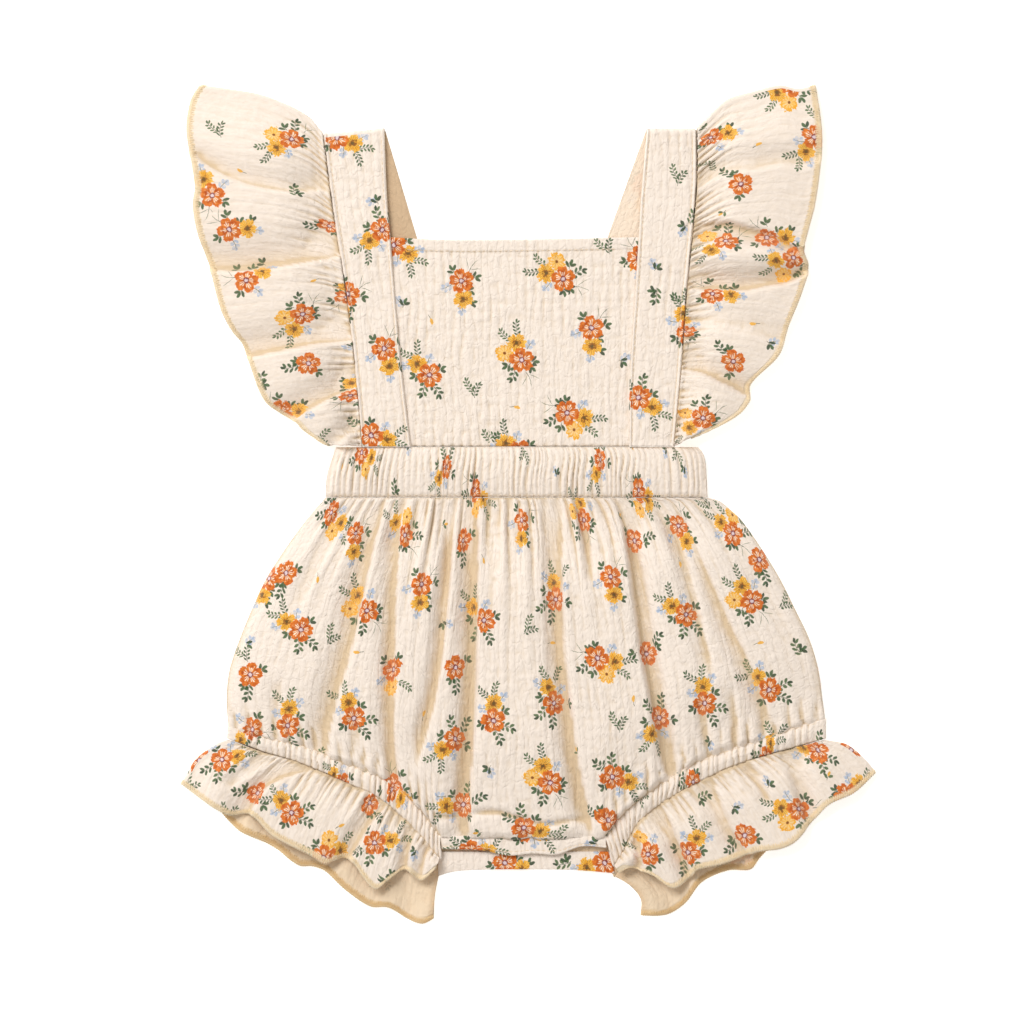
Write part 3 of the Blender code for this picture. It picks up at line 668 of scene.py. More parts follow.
def waistband_front_piece():
    """The gathered front casing, from its upper edge down."""
    p, v = np.meshgrid(even(320), even(22, 0.05, 3))
    u = uneven(p, 0.0)
    xy = waistband_plan()(u + 0.0012 * waves(u * 60, v * 3, 21), v)
    arch = np.sin(np.pi * np.clip(v, 0, 1)) ** 0.7
    sides = ease(u / 0.03) * ease((1 - u) / 0.03)
    crisp = pleats(p + 0.009 * waves(p * 19, v * 1.3, 23), 62, 1.3, 0.2)
    crisp = crisp * (0.85 + 0.4 * waves(p * 31, v * 1.5, 24)) + 0.3 * pleats(p, 31, 1.0, 0.9)
    free = ease(np.minimum(v, 1 - v) / 0.07)  # both edges are sewn down
    z = STRAP_BACK + SEAM + 0.4 + CASING + (2.2 * arch + crisp * (0.35 + 0.35 * free + 0.3 * arch)) * sides
    z -= 0.5 * (1 - free)
    xy[..., 1] += 0.35 * crisp * ease((v - 0.9) / 0.1) * sides
    z += crinkle(xy[..., 0], xy[..., 1], 0.1, 22)
    return piece(points(xy, z), 320, floor=STRAP_BACK + SEAM)


def waistband_back_piece():
    """The back casing, which lies flat on the table."""
    u, v = np.meshgrid(even(160), even(10))
    xy = waistband_plan()(u, v)
    sides = ease(u / 0.02) * ease((1 - u) / 0.02)
    z = 0.5 * (0.4 - pleats(u, 40, 0.4, 1.1)) * sides * np.sin(np.pi * v) ** 0.5
    return piece(points(xy, np.maximum(z, 0)), -160, thickness=DOUBLE)


BIB = bib_piece()
WAISTBAND_FRONT = waistband_front_piece()
WAISTBAND_BACK = waistband_back_piece()
print("bib", BIB.outer.shape, "waistband up to", round(WAISTBAND_FRONT.outer[..., 2].max(), 1), "mm")

# %% [markdown]
# ### Shorts
# Front and back are one panel each, cut much wider than the waist. Long stitches draw the upper edge
# up to the width of the waistband, and the lower one to that of the leg bands. That is why the folds
# start small and crowded at a seam and grow wider and softer away from it. Sums of rounded waves and
# a table of folds give this form without a simulation, and it stays the same in every run.

# %% Shorts


def shorts_low(drop):
    """Lower edge of a shorts panel: the left leg band, the crotch, the right leg band."""
    left = path(BAND_UPPER["left"])
    right = path(BAND_UPPER["right"])
    crotch = straight(left(0), right(0))

    def at(u):
        u = np.asarray(u, float)
        one = (u / FIRST)[..., None]
        three = ((u - LAST) / (1 - LAST))[..., None]
        by_left = left(1 - one[..., 0]) - (0, drop) * one
        by_right = right(three[..., 0]) - (0, drop) * (1 - three)
        between = crotch((u - FIRST) / (LAST - FIRST)) - (0, drop)
        return np.where(one < 1, by_left, np.where(three > 0, by_right, between))

    return at


def shorts_plan(drop):
    """The plan of a shorts panel, whose crotch lies lower by drop."""
    waist = straight((-102.3, WAIST_LOW + 0.3), (100.7, WAIST_LOW + 0.3))
    return patch(waist, shorts_low(drop), path(SHORTS_SIDE["left"]), path(SHORTS_SIDE["right"]))


def shorts_front_piece():
    """The front panel, from the waist down to the leg bands and the crotch."""
    p, v = np.meshgrid(even(276), even(168))
    u = uneven(p, 0.8)
    xy = shorts_plan(0.0)(u, v)
    x, y = xy[..., 0], xy[..., 1]
    side = np.clip(1 - np.abs(2 * u - 1) ** 3, 0, 1)
    rise = ease(v / 0.35) * (1 - 0.55 * ease((v - 0.7) / 0.3))
    small = gather(p + 0.004 * waves(p * 12, v * 5, 38), 22, 1.1 + 0.9 * ease(v / 0.12), 1.3)
    small *= (1 - ease(v / 0.62)) * (0.85 + 0.5 * waves(p * 15, v * 3, 37))
    crisp = pleats(p + 0.005 * waves(p * 24, v * 8, 36), 39, 2.5, 0.5)
    crisp *= (1 - ease(v / 0.36)) ** 1.15 * ease(v / 0.02)
    leg = np.where(u < FIRST, 1 - u / FIRST, (u - LAST) / (1 - LAST))  # place along the leg's seam
    pockets = pleats(leg + 0.01 * waves(leg * 9, v * 30, 35), 18, 2.6, 0.3)
    pockets *= ease((v - 0.84) / 0.15) ** 1.4 * ease(leg / 0.06)
    z = 2.6 + PUFF * rise + small + folds_at(SHORTS_FOLDS, 200 + 110 * v, u, v)
    z += crisp + crinkle(u * 300, y, 0.95, 31)
    low = CLOTH + SEAM
    pulled = 0.022 + 0.012 * waves(p * 34, v * 0, 33)
    dive = np.where((u > FIRST) & (u < LAST), 0.6, 0.9)
    # the seams at the legs, the crotch and the waist pull the panel down
    sewn = 1 - dive * ease((v - 1 + pulled) / pulled) ** 1.3 - 0.5 * ease(1 - v / 0.012)
    z = low + 0.5 + (z - low - 0.5) * side**0.5 * sewn + pockets * (0.4 + 0.6 * sewn)
    bent = CROTCH_CREASE - 2.5 * np.sin(x / 17) - 1.5 * np.sin(x / 7)
    z += groove(y - bent, 1.7, 2.2) * ease((x + 50) / 14) * ease((58 - x) / 40)
    xy[..., 1] -= (0.6 + 0.6 * waves(p * 60, v * 0, 34)) * ease((v - 0.98) / 0.02)
    seamed = 1.2 * (1 - ease(np.minimum(u, 1 - u) / 0.014))  # the side seams draw it down to the back
    return piece(points(xy, at_least(z, low + 0.1, 0.5) + CLOTH - seamed), 276, floor=low)


def shorts_back_piece():
    """The back panel, which lies flat on the table."""
    u, v = np.meshgrid(even(140), even(72))
    xy = shorts_plan(BACK_DROP)(u, v)
    inside = ease(np.minimum(u, 1 - u) / 0.03) * ease(np.minimum(v, 1 - v) / 0.03)
    relief = 0.28 + crinkle(xy[..., 0], xy[..., 1], 0.3, 32) - pleats(u, 40, 0.3, 0.4) * (1 - ease(v / 0.3))
    return piece(points(xy, np.clip(relief, 0, 0.8) * inside), -140)


SHORTS_FRONT = shorts_front_piece()
SHORTS_BACK = shorts_back_piece()
print("shorts stand up to", round(SHORTS_FRONT.outer[..., 2].max(), 1), "mm off the table")

# %% [markdown]
# ### Straps
# A strap is a strip folded double and topstitched along both edges. It covers the side of the bib,
# turns over at the shoulder and runs down behind to the back of the waist. Flutters, leg bands and
# leg ruffles lie folded in the same way, so one function makes such a strip from its front half, a
# tight round turn and its back half, as one unbroken piece of cloth.

# %% A strip that lies folded


def strip(front, back, reach, count, across, thickness=THIN):
    """A piece that runs along the front, turns over at its far end and runs back underneath.

    front and back give the places at shares along and across; reach is the share that the turn takes,
    and count holds how many columns the front, the turn and the back have."""
    over = front(*np.meshgrid(np.linspace(0, 1 - reach, count[0] + 1), across))
    under = back(*np.meshgrid(np.linspace(1 - reach, 0, count[2] + 1), across))
    top, low = over[:, -1], under[:, 0]
    outward = front(*np.meshgrid([1.0], across))[:, 0] - top
    outward[:, 2] = 0
    outward /= np.linalg.norm(outward, axis=1, keepdims=True)
    radius = (top[:, 2] - low[:, 2]) / 2
    turn = []
    for part in np.linspace(0, 1, count[1] + 1)[1:-1]:
        ring = top + (low - top) * part
        ring[:, 2] = (top[:, 2] + low[:, 2]) / 2 + radius * math.cos(math.pi * part)
        turn.append(ring + outward * radius[:, None] * math.sin(math.pi * part))
    outer = np.concatenate([over, np.stack(turn, axis=1), under], axis=1)
    return piece(outer, count[0], thickness)


def between(first, second, v):
    """Places at a share of the way from one edge to another."""
    return first + (second - first) * v[..., None]


STRAP_COLUMNS = (170, 10, 60)
STRAP_ROWS = even(20, 0.14, 8)


def strap_piece(side):
    """One strap, from the front of the waist over the shoulder to its back."""
    outer = path(STRAP_OUTER[side])
    inner = path(STRAP_INNER[side])
    waist_outer, waist_inner = STRAP_BACK_WAIST[side]
    back_outer = straight((waist_outer, WAIST_TOP + SEAM), outer(1))
    back_inner = straight((waist_inner, WAIST_TOP + SEAM), inner(1))
    seed = {"left": 43, "right": 41}[side]

    def front(s, v):
        xy = between(outer(s), inner(s), v)
        hem = 0.35 * ease((xy[..., 1] - 120.0) / 12) * ease((165.0 - xy[..., 1]) / 14)
        width = np.linalg.norm(outer(s) - inner(s), axis=2)
        edge = np.minimum(v, 1 - v) * width
        relief = crinkle(v * width * WAY[side], xy[..., 1], 0.8, seed) * ease((edge - 2.2) / 2)
        inset = np.where(v < 0.5, STRAP_STITCHES["outer"], STRAP_STITCHES["inner"])
        rims = groove(edge - inset, 0.5, 0.5) - 1.5 * (1 - ease(edge / 1.0))
        rims += 0.65 * np.exp(-(((edge - inset * 0.45) / 0.7) ** 2))
        return points(xy, STRAP_UNDER + BAND + hem + relief + rims)

    def back(s, v):
        xy = between(back_outer(s), back_inner(s), v)
        low = np.clip(crinkle(v * 27, xy[..., 1], 0.2, 45) + 0.1, 0, 0.4)
        return points(xy, low * ease(np.minimum(v, 1 - v) / 0.08))

    return strip(front, back, 0.015, STRAP_COLUMNS, STRAP_ROWS, thickness=DOUBLE)


STRAP = {side: strap_piece(side) for side in WAY}
print("strap grids", STRAP["left"].outer.shape)

# %% [markdown]
# ### Flutters
# A flutter is a long strip. One edge is gathered into the outer seam of the strap, and the other is
# overlocked and hangs free. The seam holds the cloth low and tight, and beyond it the spare length
# falls into a few deep folds, which show as scallops along the hem.

# %% Flutters


def flutter_piece(side):
    """One flutter, from its seam on the strap out to its hem."""
    seam = moved(path(STRAP_OUTER[side]), dx=-0.3 * WAY[side], dy=0.8)
    hem = path(FLUTTER_HEM[side])
    top = path(FLUTTER_TOP[side])
    plan = patch(seam, hem, straight(seam(0), hem(0)), top)
    back_waist = STRAP_BACK_WAIST[side][0] + WAY[side] * 1.3 * SEAM
    back_seam = straight((back_waist, WAIST_TOP + SEAM), seam(1))
    back_hem = path(FLUTTER_BACK_HEM[side])
    back_plan = patch(back_seam, back_hem, straight(back_seam(0), back_hem(0)), top)
    seed = {"left": 50, "right": 55}[side]

    def front(p, v):
        u = np.where(p < 0.9, uneven(p, 2.1), p)
        xy = plan(u, v)
        end = ease((1 - u) / 0.06)
        small = gather(p, 15, 0.55) * (1 - ease(v / 0.5)) * end
        crisp = pleats(p + 0.004 * waves(p * 20, v * 5, seed), 47, 1.9, 1.2)
        crisp *= (1 - ease(v / 0.46)) ** 1.3 * end
        lift = 1.2 + 6.2 * ease(v / 0.45) * (1 - 0.3 * ease((v - 0.6) / 0.4))
        soft = lift + folds_at(FLUTTER_FOLDS[side], 165 + 60 * v, u, v)
        sewn = 1 - ease(v / 0.07)  # the allowance under the seam lifts it
        z = 2.2 + small + crisp * (0.9 - 0.4 * sewn) + 0.7 * sewn
        z += soft * ease((1 - u) / 0.16) + 0.6 * ease((u - 0.84) / 0.16)
        z += crinkle(u * 190, v * 75, 1.1, seed + 1) * (0.4 + 0.6 * end) * (1 - 0.5 * ease(v / 0.8))
        return points(xy, at_least(z, CLOTH + SEAM + 0.3, 0.4) + CLOTH)

    def back(s, v):
        xy = back_plan(s, v)
        inside = ease(np.minimum(v, 1 - v) / 0.05) * ease((1 - s) / 0.03)
        relief = 0.25 + crinkle(s * 190, v * 75, 0.25, seed + 2)
        relief -= pleats(s, 36, 0.3, 0.2) * (1 - ease(v / 0.4))
        return points(xy, np.clip(relief, 0, 0.7) * inside)

    return strip(front, back, 0.011, (232, 10, 64), even(58))


FLUTTER = {side: flutter_piece(side) for side in WAY}
highest = max(flutter.outer[..., 2].max() for flutter in FLUTTER.values())
print("flutters stand up to", round(highest, 1), "mm off the table")

# %% [markdown]
# ### Leg bands and leg ruffles
# Each leg ends in a narrow casing with elastic in it, and a short ruffle below. Both start at the
# front of the crotch, go round the outer side of the leg and end at the back of the crotch. The back
# half of the ruffle hangs lower, so its inner face shows below the hem of the front half, and it
# waves there because nothing holds it down.

# %% Leg bands and leg ruffles


def band_piece(side):
    """One leg band, from the front of the crotch round the leg to its back."""
    upper = moved(path(BAND_UPPER[side]), dy=1.3)
    lower = path(BAND_LOWER[side])
    seed = {"left": 60, "right": 65}[side]

    def front(p, v):
        s = np.where(p < 0.9, uneven(p, 0.4), p)
        xy = between(upper(s), lower(s), v)
        arch = np.sin(np.pi * np.clip(v, 0, 1)) ** 0.9
        edge = ease((1 - s) / 0.1)
        crisp = pleats(p + 0.007 * waves(p * 24, v * 2.4, seed), 36, 1.25, 0.3)
        crisp += 0.5 * gather(p, 13, 0.8, 1.9)
        relief = 2.0 * arch + crisp * (0.55 + 0.45 * arch) + 0.3 * ease((v - 0.7) / 0.3)
        return points(xy, at_least(1.8 + CASING + relief * edge + 0.6 * (1 - edge), 2.2, 0.3))

    def back(s, v):
        xy = between(upper(s), lower(s), v)
        drop = BACK_DROP + 1.0 + (BAND_DROP - BACK_DROP - 1.0) * v
        xy[..., 1] -= drop * (1 - s) + SEAM * (1 - v)
        return points(xy, np.clip(0.15 - pleats(s, 24, 0.3), 0, 0.5) * np.sin(np.pi * np.clip(v, 0, 1)))

    return strip(front, back, 0.01, (200, 8, 60), even(12), thickness=1.0)


def ruffle_piece(side):
    """One leg ruffle, from its seam under the band down to its hem."""
    seam = moved(path(BAND_LOWER[side]), dy=0.9)
    hem = path(RUFFLE_HEM[side])
    tip = path(RUFFLE_TIP[side])
    plan = patch(seam, hem, straight(seam(0), hem(0)), tip)
    start = path(RUFFLE_BACK_START[side])
    seed = {"left": 70, "right": 75}[side]

    def back_seam(s):
        return seam(s) - (0, BAND_DROP) * (1 - np.asarray(s, float))[..., None]

    shift = back_seam(0) - start(0)

    def back_start(t):
        return start(t) + shift * (1 - np.asarray(t, float))[..., None]

    back_plan = patch(back_seam, path(RUFFLE_BACK_HEM[side]), back_start, tip)
    edge_line = hem(np.linspace(0, 1, 80))
    order = np.argsort(edge_line[:, 0])

    def front(p, v):
        u = np.where(p < 0.9, uneven(p, 0.4), p)
        xy = plan(u, v)
        edge = ease((1 - u) / 0.14)
        small = gather(p, 10, 0.9, 0.7) * (1 - ease(v / 0.75)) * edge
        crisp = pleats(p + 0.006 * waves(p * 20, v * 3, seed), 36, 1.7, 0.3) * (1 - ease(v / 0.6)) * edge
        soft = 1.0 + 4.8 * ease(v / 0.5) + folds_at(RUFFLE_FOLDS[side], 125 + 30 * v, u, v)
        tuck = 1 - ease(v / 0.07)  # under the band
        z = 2.2 + small + crisp * (1 - 0.45 * tuck) + soft * edge + 0.6 * (1 - edge) - 0.7 * tuck * edge
        z += crinkle(u * 160, v * 45, 0.9, seed + 1) * (0.4 + 0.6 * edge) * (1 - 0.4 * ease(v / 0.8))
        return points(xy, at_least(z, CLOTH + SEAM + 0.3, 0.3) + CLOTH)

    def back(s, v):
        xy = back_plan(s, v)
        beyond = np.interp(xy[..., 0], edge_line[order, 0], edge_line[order, 1]) - xy[..., 1]
        free = ease((beyond - 1) / 7) * ease((1 - s) / 0.1)  # of the front half over it
        inside = ease(np.minimum(v, 1 - v) / 0.06) * ease((1 - s) / 0.04)
        low = 0.35 + crinkle(s * 150, v * 45, 0.5, seed + 2)
        wavy = 1.3 + 1.2 * np.cos(2 * np.pi * (5.4 * s + 0.25 * waves(s * 4, v * 2, seed + 3)))
        wavy += 0.5 * np.sin(31 * s)
        return points(xy, np.clip(low, 0, 0.9) * inside + np.maximum(wavy, 0) * free)

    return strip(front, back, 0.012, (176, 10, 120), even(36))


LEG_BAND = {side: band_piece(side) for side in WAY}
LEG_RUFFLE = {side: ruffle_piece(side) for side in WAY}
print("leg band", LEG_BAND["left"].outer.shape, "leg ruffle", LEG_RUFFLE["left"].outer.shape)

# %% [markdown]
# ### Crotch strips
# Between the legs, each panel ends in a strip that is folded double, so that the edge is firm. The
# two strips lie on each other, the front one on top with one row of stitches.

# %% Crotch strips


def crotch_front_piece():
    """The strip on the front panel's edge between the legs."""
    top = straight((-41.6, CROTCH_Y + 1.0), (46.6, CROTCH_Y + 1.0))
    low = path(CROTCH_FRONT_LOW)
    u, v = np.meshgrid(even(110), even(8, 0.12, 3))
    ends = [straight(top(t), low(t)) for t in (0, 1)]
    xy = patch(top, low, *ends)(u, v)
    z = 2.7 + BAND + 0.5 * np.sin(9 * u) * np.sin(np.pi * v)
    z += crinkle(xy[..., 0] * 1.3, xy[..., 1] / 3, 0.5, 81)
    z += groove(v - 0.8, 0.08, 0.3) - 0.5 * ease(1 - (1 - v) / 0.08)
    return piece(points(xy, z), 110, thickness=DOUBLE)


def crotch_back_piece():
    """The strip on the back panel's edge, under the front one."""
    u, v = np.meshgrid(even(80), even(6, 0.12, 2))
    top = straight((-42.4, CROTCH_Y - BACK_DROP + 1.4), (49.0, CROTCH_Y - BACK_DROP + 1.4))
    xy = between(top(u), path(CROTCH_BACK_LOW)(u), v)
    rough = np.clip(0.15 + crinkle(xy[..., 0] * 1.6, xy[..., 1], 0.25, 82), 0, 0.5) * np.sin(np.pi * v)
    return piece(points(xy, np.maximum(rough, 0)), -80, thickness=1.5)


CROTCH_FRONT = crotch_front_piece()
CROTCH_BACK = crotch_back_piece()
PIECES = {
    "bib": BIB, "waistband_front": WAISTBAND_FRONT, "waistband_back": WAISTBAND_BACK,
    "shorts_front": SHORTS_FRONT, "shorts_back": SHORTS_BACK,
    "crotch_front": CROTCH_FRONT, "crotch_back": CROTCH_BACK,
}
for side in WAY:
    PIECES[f"strap_{side}"] = STRAP[side]
    PIECES[f"flutter_{side}"] = FLUTTER[side]
    PIECES[f"leg_band_{side}"] = LEG_BAND[side]
    PIECES[f"leg_ruffle_{side}"] = LEG_RUFFLE[side]
cells = {name: (p.outer.shape[0] - 1) * (p.outer.shape[1] - 1) for name, p in PIECES.items()}
print("triangles in all", 4 * sum(cells.values()), "most in a piece", 4 * max(cells.values()))

# %% [markdown]
# ## The print as a chart
# The cloth is printed with loose sprays of small flowers: an orange one with a paler ochre one beside
# it, ferns, leafy stems and blue bells. A mill repeats one drawing over the whole bolt, and the
# pieces are cut from it any way round, so the sprays lie at all angles and run off at the seams. A
# chart gives the place, turn and kind of each spray on the front of each piece. Cloth that lies
# underneath gets its sprays on an uneven lattice. Each drawing is laid on along the cloth, so that
# it dips into the folds as real print does.

# %% Drawings and kinds of spray
LAYERS = ("orange", "ochre", "sprig_a", "sprig_b")
TILE = 24.0  # room for one drawing in its layer, in millimetres
# each drawing: its layer, its tile there, how far it reaches from its middle
DRAWINGS = {
    "orange": ("orange", 0, 8.0), "ochre": ("ochre", 0, 7.0), "open": ("ochre", 1, 6.2),
    "fern": ("sprig", 0, 6.2), "stem": ("sprig", 1, 6.4), "leaves": ("sprig", 2, 4.4),
    "bells": ("sprig", 3, 4.8), "bud": ("sprig", 4, 4.5), "buds": ("sprig", 5, 5.0),
    "grass": ("sprig", 6, 6.0),
}
Motif = namedtuple("Motif", "drawing dx dy turn")
Spray = namedtuple("Spray", "kind x y turn flip", defaults=(1,))
KINDS = {
    "pair": [
        Motif("orange", 0, 0, 0), Motif("ochre", 1.6, -9.6, 20), Motif("leaves", -6.2, 6.6, 125),
        Motif("grass", 5.4, 9.0, 55), Motif("leaves", 9.0, 3.2, 20), Motif("leaves", 7.8, -10.6, 15),
        Motif("bells", -9.0, -4.6, 200), Motif("bells", 1.4, -16.6, -95), Motif("leaves", 6.2, -6.0, -30),
    ],
    "duo": [
        Motif("orange", 0, 0, 30), Motif("ochre", -7.6, 4.6, 0), Motif("fern", -15.4, 8.6, 165),
        Motif("fern", -9.4, 14.0, 100), Motif("bells", -1.6, 9.6, 70), Motif("bells", -14.6, 2.2, 190),
        Motif("leaves", -8.8, -3.2, 215), Motif("leaves", 6.6, 5.4, 40), Motif("stem", -1.6, -9.8, -100),
        Motif("stem", 6.6, -8.4, -50),
    ],
    "trio": [
        Motif("orange", 0, 0, 10), Motif("ochre", -5.6, 7.8, 40), Motif("open", -9.8, 0.6, 0),
        Motif("fern", -14.0, 10.0, 150), Motif("fern", -8.6, 16.4, 110), Motif("bells", 2.0, 10.4, 65),
        Motif("leaves", 8.0, 1.6, 10), Motif("grass", 7.6, -8.8, -55), Motif("stem", -1.6, -10.2, -95),
        Motif("leaves", -7.4, -6.8, 225), Motif("leaves", 7.6, -2.8, -25),
    ],
    "single": [
        Motif("orange", 0, 0, 50), Motif("leaves", -3.8, -7.6, 235), Motif("stem", -0.8, -11.6, -105),
        Motif("leaves", 7.6, 4.4, 35),
    ],
    "open": [
        Motif("orange", 0, 0, 0), Motif("open", 0.3, -9.8, 0), Motif("fern", 7.6, -9.0, -40),
        Motif("leaves", -5.8, 5.8, 130), Motif("leaves", 2.4, 8.0, 75), Motif("bells", -7.4, -7.0, 215),
    ],
    "ferns": [Motif("fern", -2.0, 1.4, 118), Motif("fern", 3.2, -0.4, 62)],
    "bud": [Motif("bud", 0, 0, 90)],
    "buds": [Motif("buds", 0, 0, 90)],
    "bells": [Motif("bells", 0, 0, 90), Motif("leaves", 3.0, -3.0, 20)],
    "leafs": [Motif("stem", 0, 0, 90), Motif("leaves", 4.4, -3.2, 10)],
}
print({kind: len(motifs) for kind, motifs in KINDS.items()}, "motifs in each kind of spray")

# %% [markdown]
# ### The chart
# A spray stands here under each piece that shows a part of it. Where a drawing runs from a panel
# onto the casing next to it, both lists hold it, and each piece keeps what falls on its own cloth.

# %% Chart of the sprays
# x and y in millimetres as the romper lies, then the turn in degrees
SPRAYS = {
    "bib": [
        Spray("pair", -30, 119, -4), Spray("trio", 24, 120, 107, -1), Spray("trio", 2, 77, -18),
        Spray("pair", 39, 94, -7), Spray("duo", -47, 69, -11), Spray("trio", 26, 49, -71, -1),
        Spray("ferns", -25, 63, 0), Spray("bud", -46, 98, -160), Spray("bud", -1, 52, -100),
        Spray("bells", -64, 109, 40), Spray("bells", 58, 79, -60), Spray("duo", -66, 138, 180),
        Spray("ferns", 45, 138, 20), Spray("pair", 64, 131, 61), Spray("buds", 60, 125, 150),
        Spray("ferns", -15, 36, 10), Spray("duo", 1, 28, -2),
    ],
    "strap_left": [
        Spray("duo", -96, 195, -169), Spray("duo", -72, 146, -171, -1), Spray("pair", -90, 112, -29),
        Spray("pair", -71, 83, 7), Spray("duo", -78, 37, -46, -1), Spray("bells", -79, 161, 80),
    ],
    "strap_right": [
        Spray("ferns", 84, 176, -10), Spray("leafs", 93, 155, -30), Spray("bells", 87, 144, 150),
        Spray("duo", 64, 57, 177), Spray("trio", 89, 92, 46, -1), Spray("ferns", 86, 110, 40),
        Spray("bells", 71, 129, 20), Spray("leafs", 73, 109, 160),
    ],
    "flutter_left": [
        Spray("ferns", -161, 200, 15), Spray("trio", -120, 194, 161, -1), Spray("bud", -147, 177, 60),
        Spray("leafs", -119, 168, 0), Spray("pair", -162, 164, -162), Spray("pair", -153, 146, 83),
        Spray("single", -100, 148, -93), Spray("pair", -144, 119, 111), Spray("bud", -108, 119, 120),
        Spray("trio", -114, 101, -173, -1), Spray("pair", -91, 110, 173), Spray("bells", -92, 84, 70),
        Spray("single", -111, 75, -73), Spray("leafs", -136, 68, -20), Spray("pair", -89, 58, 168),
        Spray("pair", -126, 49, 81), Spray("ferns", -103, 36, -70), Spray("leafs", -89, 45, 30),
    ],
    "flutter_right": [
        Spray("trio", 146, 223, 81), Spray("ferns", 157, 208, 10), Spray("pair", 102, 195, 99),
        Spray("duo", 157, 195, 92), Spray("bud", 127, 191, -60), Spray("single", 118, 170, -125),
        Spray("buds", 107, 154, 120), Spray("trio", 110, 140, 160, -1), Spray("pair", 132, 142, 77),
        Spray("trio", 146, 131, 63), Spray("pair", 103, 112, 81), Spray("trio", 88, 92, -31),
        Spray("bud", 125, 96, 90), Spray("bells", 137, 87, -80), Spray("single", 114, 76, -134),
        Spray("trio", 98, 46, 161, -1), Spray("ferns", 100, 180, 30),
    ],
    "shorts_front": [
        Spray("trio", -99, -4, -90, -1), Spray("pair", -86, -15, -15), Spray("single", -123, -36, -12),
        Spray("pair", -132, -39, -35), Spray("bud", -106, -39, -180), Spray("duo", -115, -66, 3),
        Spray("trio", -80, -56, -3), Spray("ferns", -99, -68, -40), Spray("trio", -60, -16, 79, -1),
        Spray("pair", -51, -42, -12), Spray("buds", -38, -10, -90), Spray("single", -29, -19, 4),
        Spray("bud", -18, -29, -160), Spray("trio", -23, 8, -85, -1), Spray("pair", 2, -8, -11),
        Spray("duo", -18, -61, -19), Spray("bells", -36, -63, -110), Spray("ferns", 6, -63, -50),
        Spray("duo", 20, -50, -51), Spray("trio", 35, -8, -22), Spray("single", 62, -19, 110),
        Spray("trio", 64, 8, -86, -1), Spray("pair", 85, -11, 24), Spray("buds", 54, -5, -60),
        Spray("pair", 49, -38, 0), Spray("duo", 89, -58, 1), Spray("bud", 86, -31, -170),
        Spray("trio", 114, -15, 87, -1), Spray("ferns", 98, 1, 40), Spray("single", 128, -29, 25),
        Spray("trio", 124, -51, 0), Spray("ferns", 142, -50, -60), Spray("single", -142, -90, -3),
        Spray("bells", -141, -71, -60), Spray("duo", -122, -117, 55, -1), Spray("pair", -141, -119, -68),
        Spray("duo", -87, -113, 78, -1), Spray("open", -66, -87, 0), Spray("bud", -85, -78, 90),
        Spray("bud", -50, -111, -20), Spray("single", -33, -86, 6), Spray("duo", -33, -124, -173, -1),
        Spray("duo", -13, -114, 58, -1), Spray("duo", 19, -105, -40), Spray("bells", -14, -143, -170),
        Spray("bud", 18, -73, -90), Spray("trio", 17, -147, -12), Spray("trio", 42, -81, -64, -1),
        Spray("single", 68, -79, 151), Spray("bud", 61, -103, 0), Spray("ferns", 52, -114, 0),
        Spray("buds", 31, -129, 30), Spray("duo", 75, -113, -147, -1), Spray("duo", 50, -144, -167),
        Spray("duo", 99, -105, 66, -1), Spray("bud", 128, -73, -80), Spray("leafs", 147, -74, 20),
        Spray("duo", 133, -98, 102, -1), Spray("duo", 137, -135, -46), Spray("bells", 102, -129, 160),
        Spray("duo", -29, -159, 153, -1), Spray("buds", -23, -174, 90), Spray("duo", 3, -171, -160),
        Spray("single", 48, -167, -113), Spray("ferns", 23, -174, -70), Spray("pair", -67, -149, 35),
        Spray("ferns", -147, -78, 20), Spray("ferns", -104, -134, -40),
    ],
    "waistband_front": [
        Spray("trio", -83, 28, -71, -1), Spray("bud", -93, 21, 170), Spray("duo", -38, 20, -171, -1),
        Spray("leafs", -66, 11, 0), Spray("trio", -23, 8, -85, -1), Spray("ferns", 4, 26, -180),
        Spray("bells", 19, 19, 40), Spray("duo", 44, 24, -154, -1), Spray("ferns", 29, 6, 20),
        Spray("trio", 64, 8, -76, -1), Spray("buds", 61, 30, -180), Spray("ferns", 85, 26, -180),
        Spray("bells", 78, 26, 150), Spray("bells", 89, 16, -170), Spray("bells", -58, 28, -180),
    ],
    "leg_band_left": [
        Spray("pair", -141, -119, -68), Spray("duo", -94, -148, -12), Spray("buds", -81, -139, 20),
        Spray("pair", -67, -151, 41),
    ],
    "leg_band_right": [
        Spray("ferns", 66, -155, -110), Spray("duo", 93, -147, -80, -1), Spray("duo", 132, -134, -83),
        Spray("leafs", 160, -122, -20), Spray("leafs", 57, -181, 30),
    ],
    "leg_ruffle_left": [
        Spray("duo", -157, -135, -21, -1), Spray("single", -138, -153, -90),
        Spray("duo", -120, -163, 99, -1), Spray("ferns", -174, -147, -30), Spray("ferns", -154, -162, 0),
        Spray("trio", -103, -187, -103), Spray("single", -79, -158, 44), Spray("bud", -94, -170, -70),
        Spray("duo", -76, -179, -24, -1), Spray("bells", -55, -187, 160), Spray("leafs", -70, -199, 100),
    ],
    "leg_ruffle_right": [
        Spray("duo", 159, -130, 26), Spray("buds", 165, -142, -30), Spray("trio", 174, -154, -14, -1),
        Spray("trio", 149, -161, 53), Spray("bells", 118, -159, -80), Spray("single", 120, -175, -42),
        Spray("duo", 90, -184, 26, -1), Spray("open", 69, -185, -154), Spray("leafs", 100, -154, -80),
        Spray("bells", 131, -145, 20),
    ],
    "crotch_front": [
        Spray("duo", -25, -184, -30, -1), Spray("ferns", -35, -181, 80), Spray("duo", 4, -172, -159),
        Spray("bells", 37, -180, 90),
    ],
    "crotch_back": [
        Spray("pair", -7, -190, 59), Spray("pair", 46, -190, -85), Spray("leafs", 22, -191, 90),
    ],
}
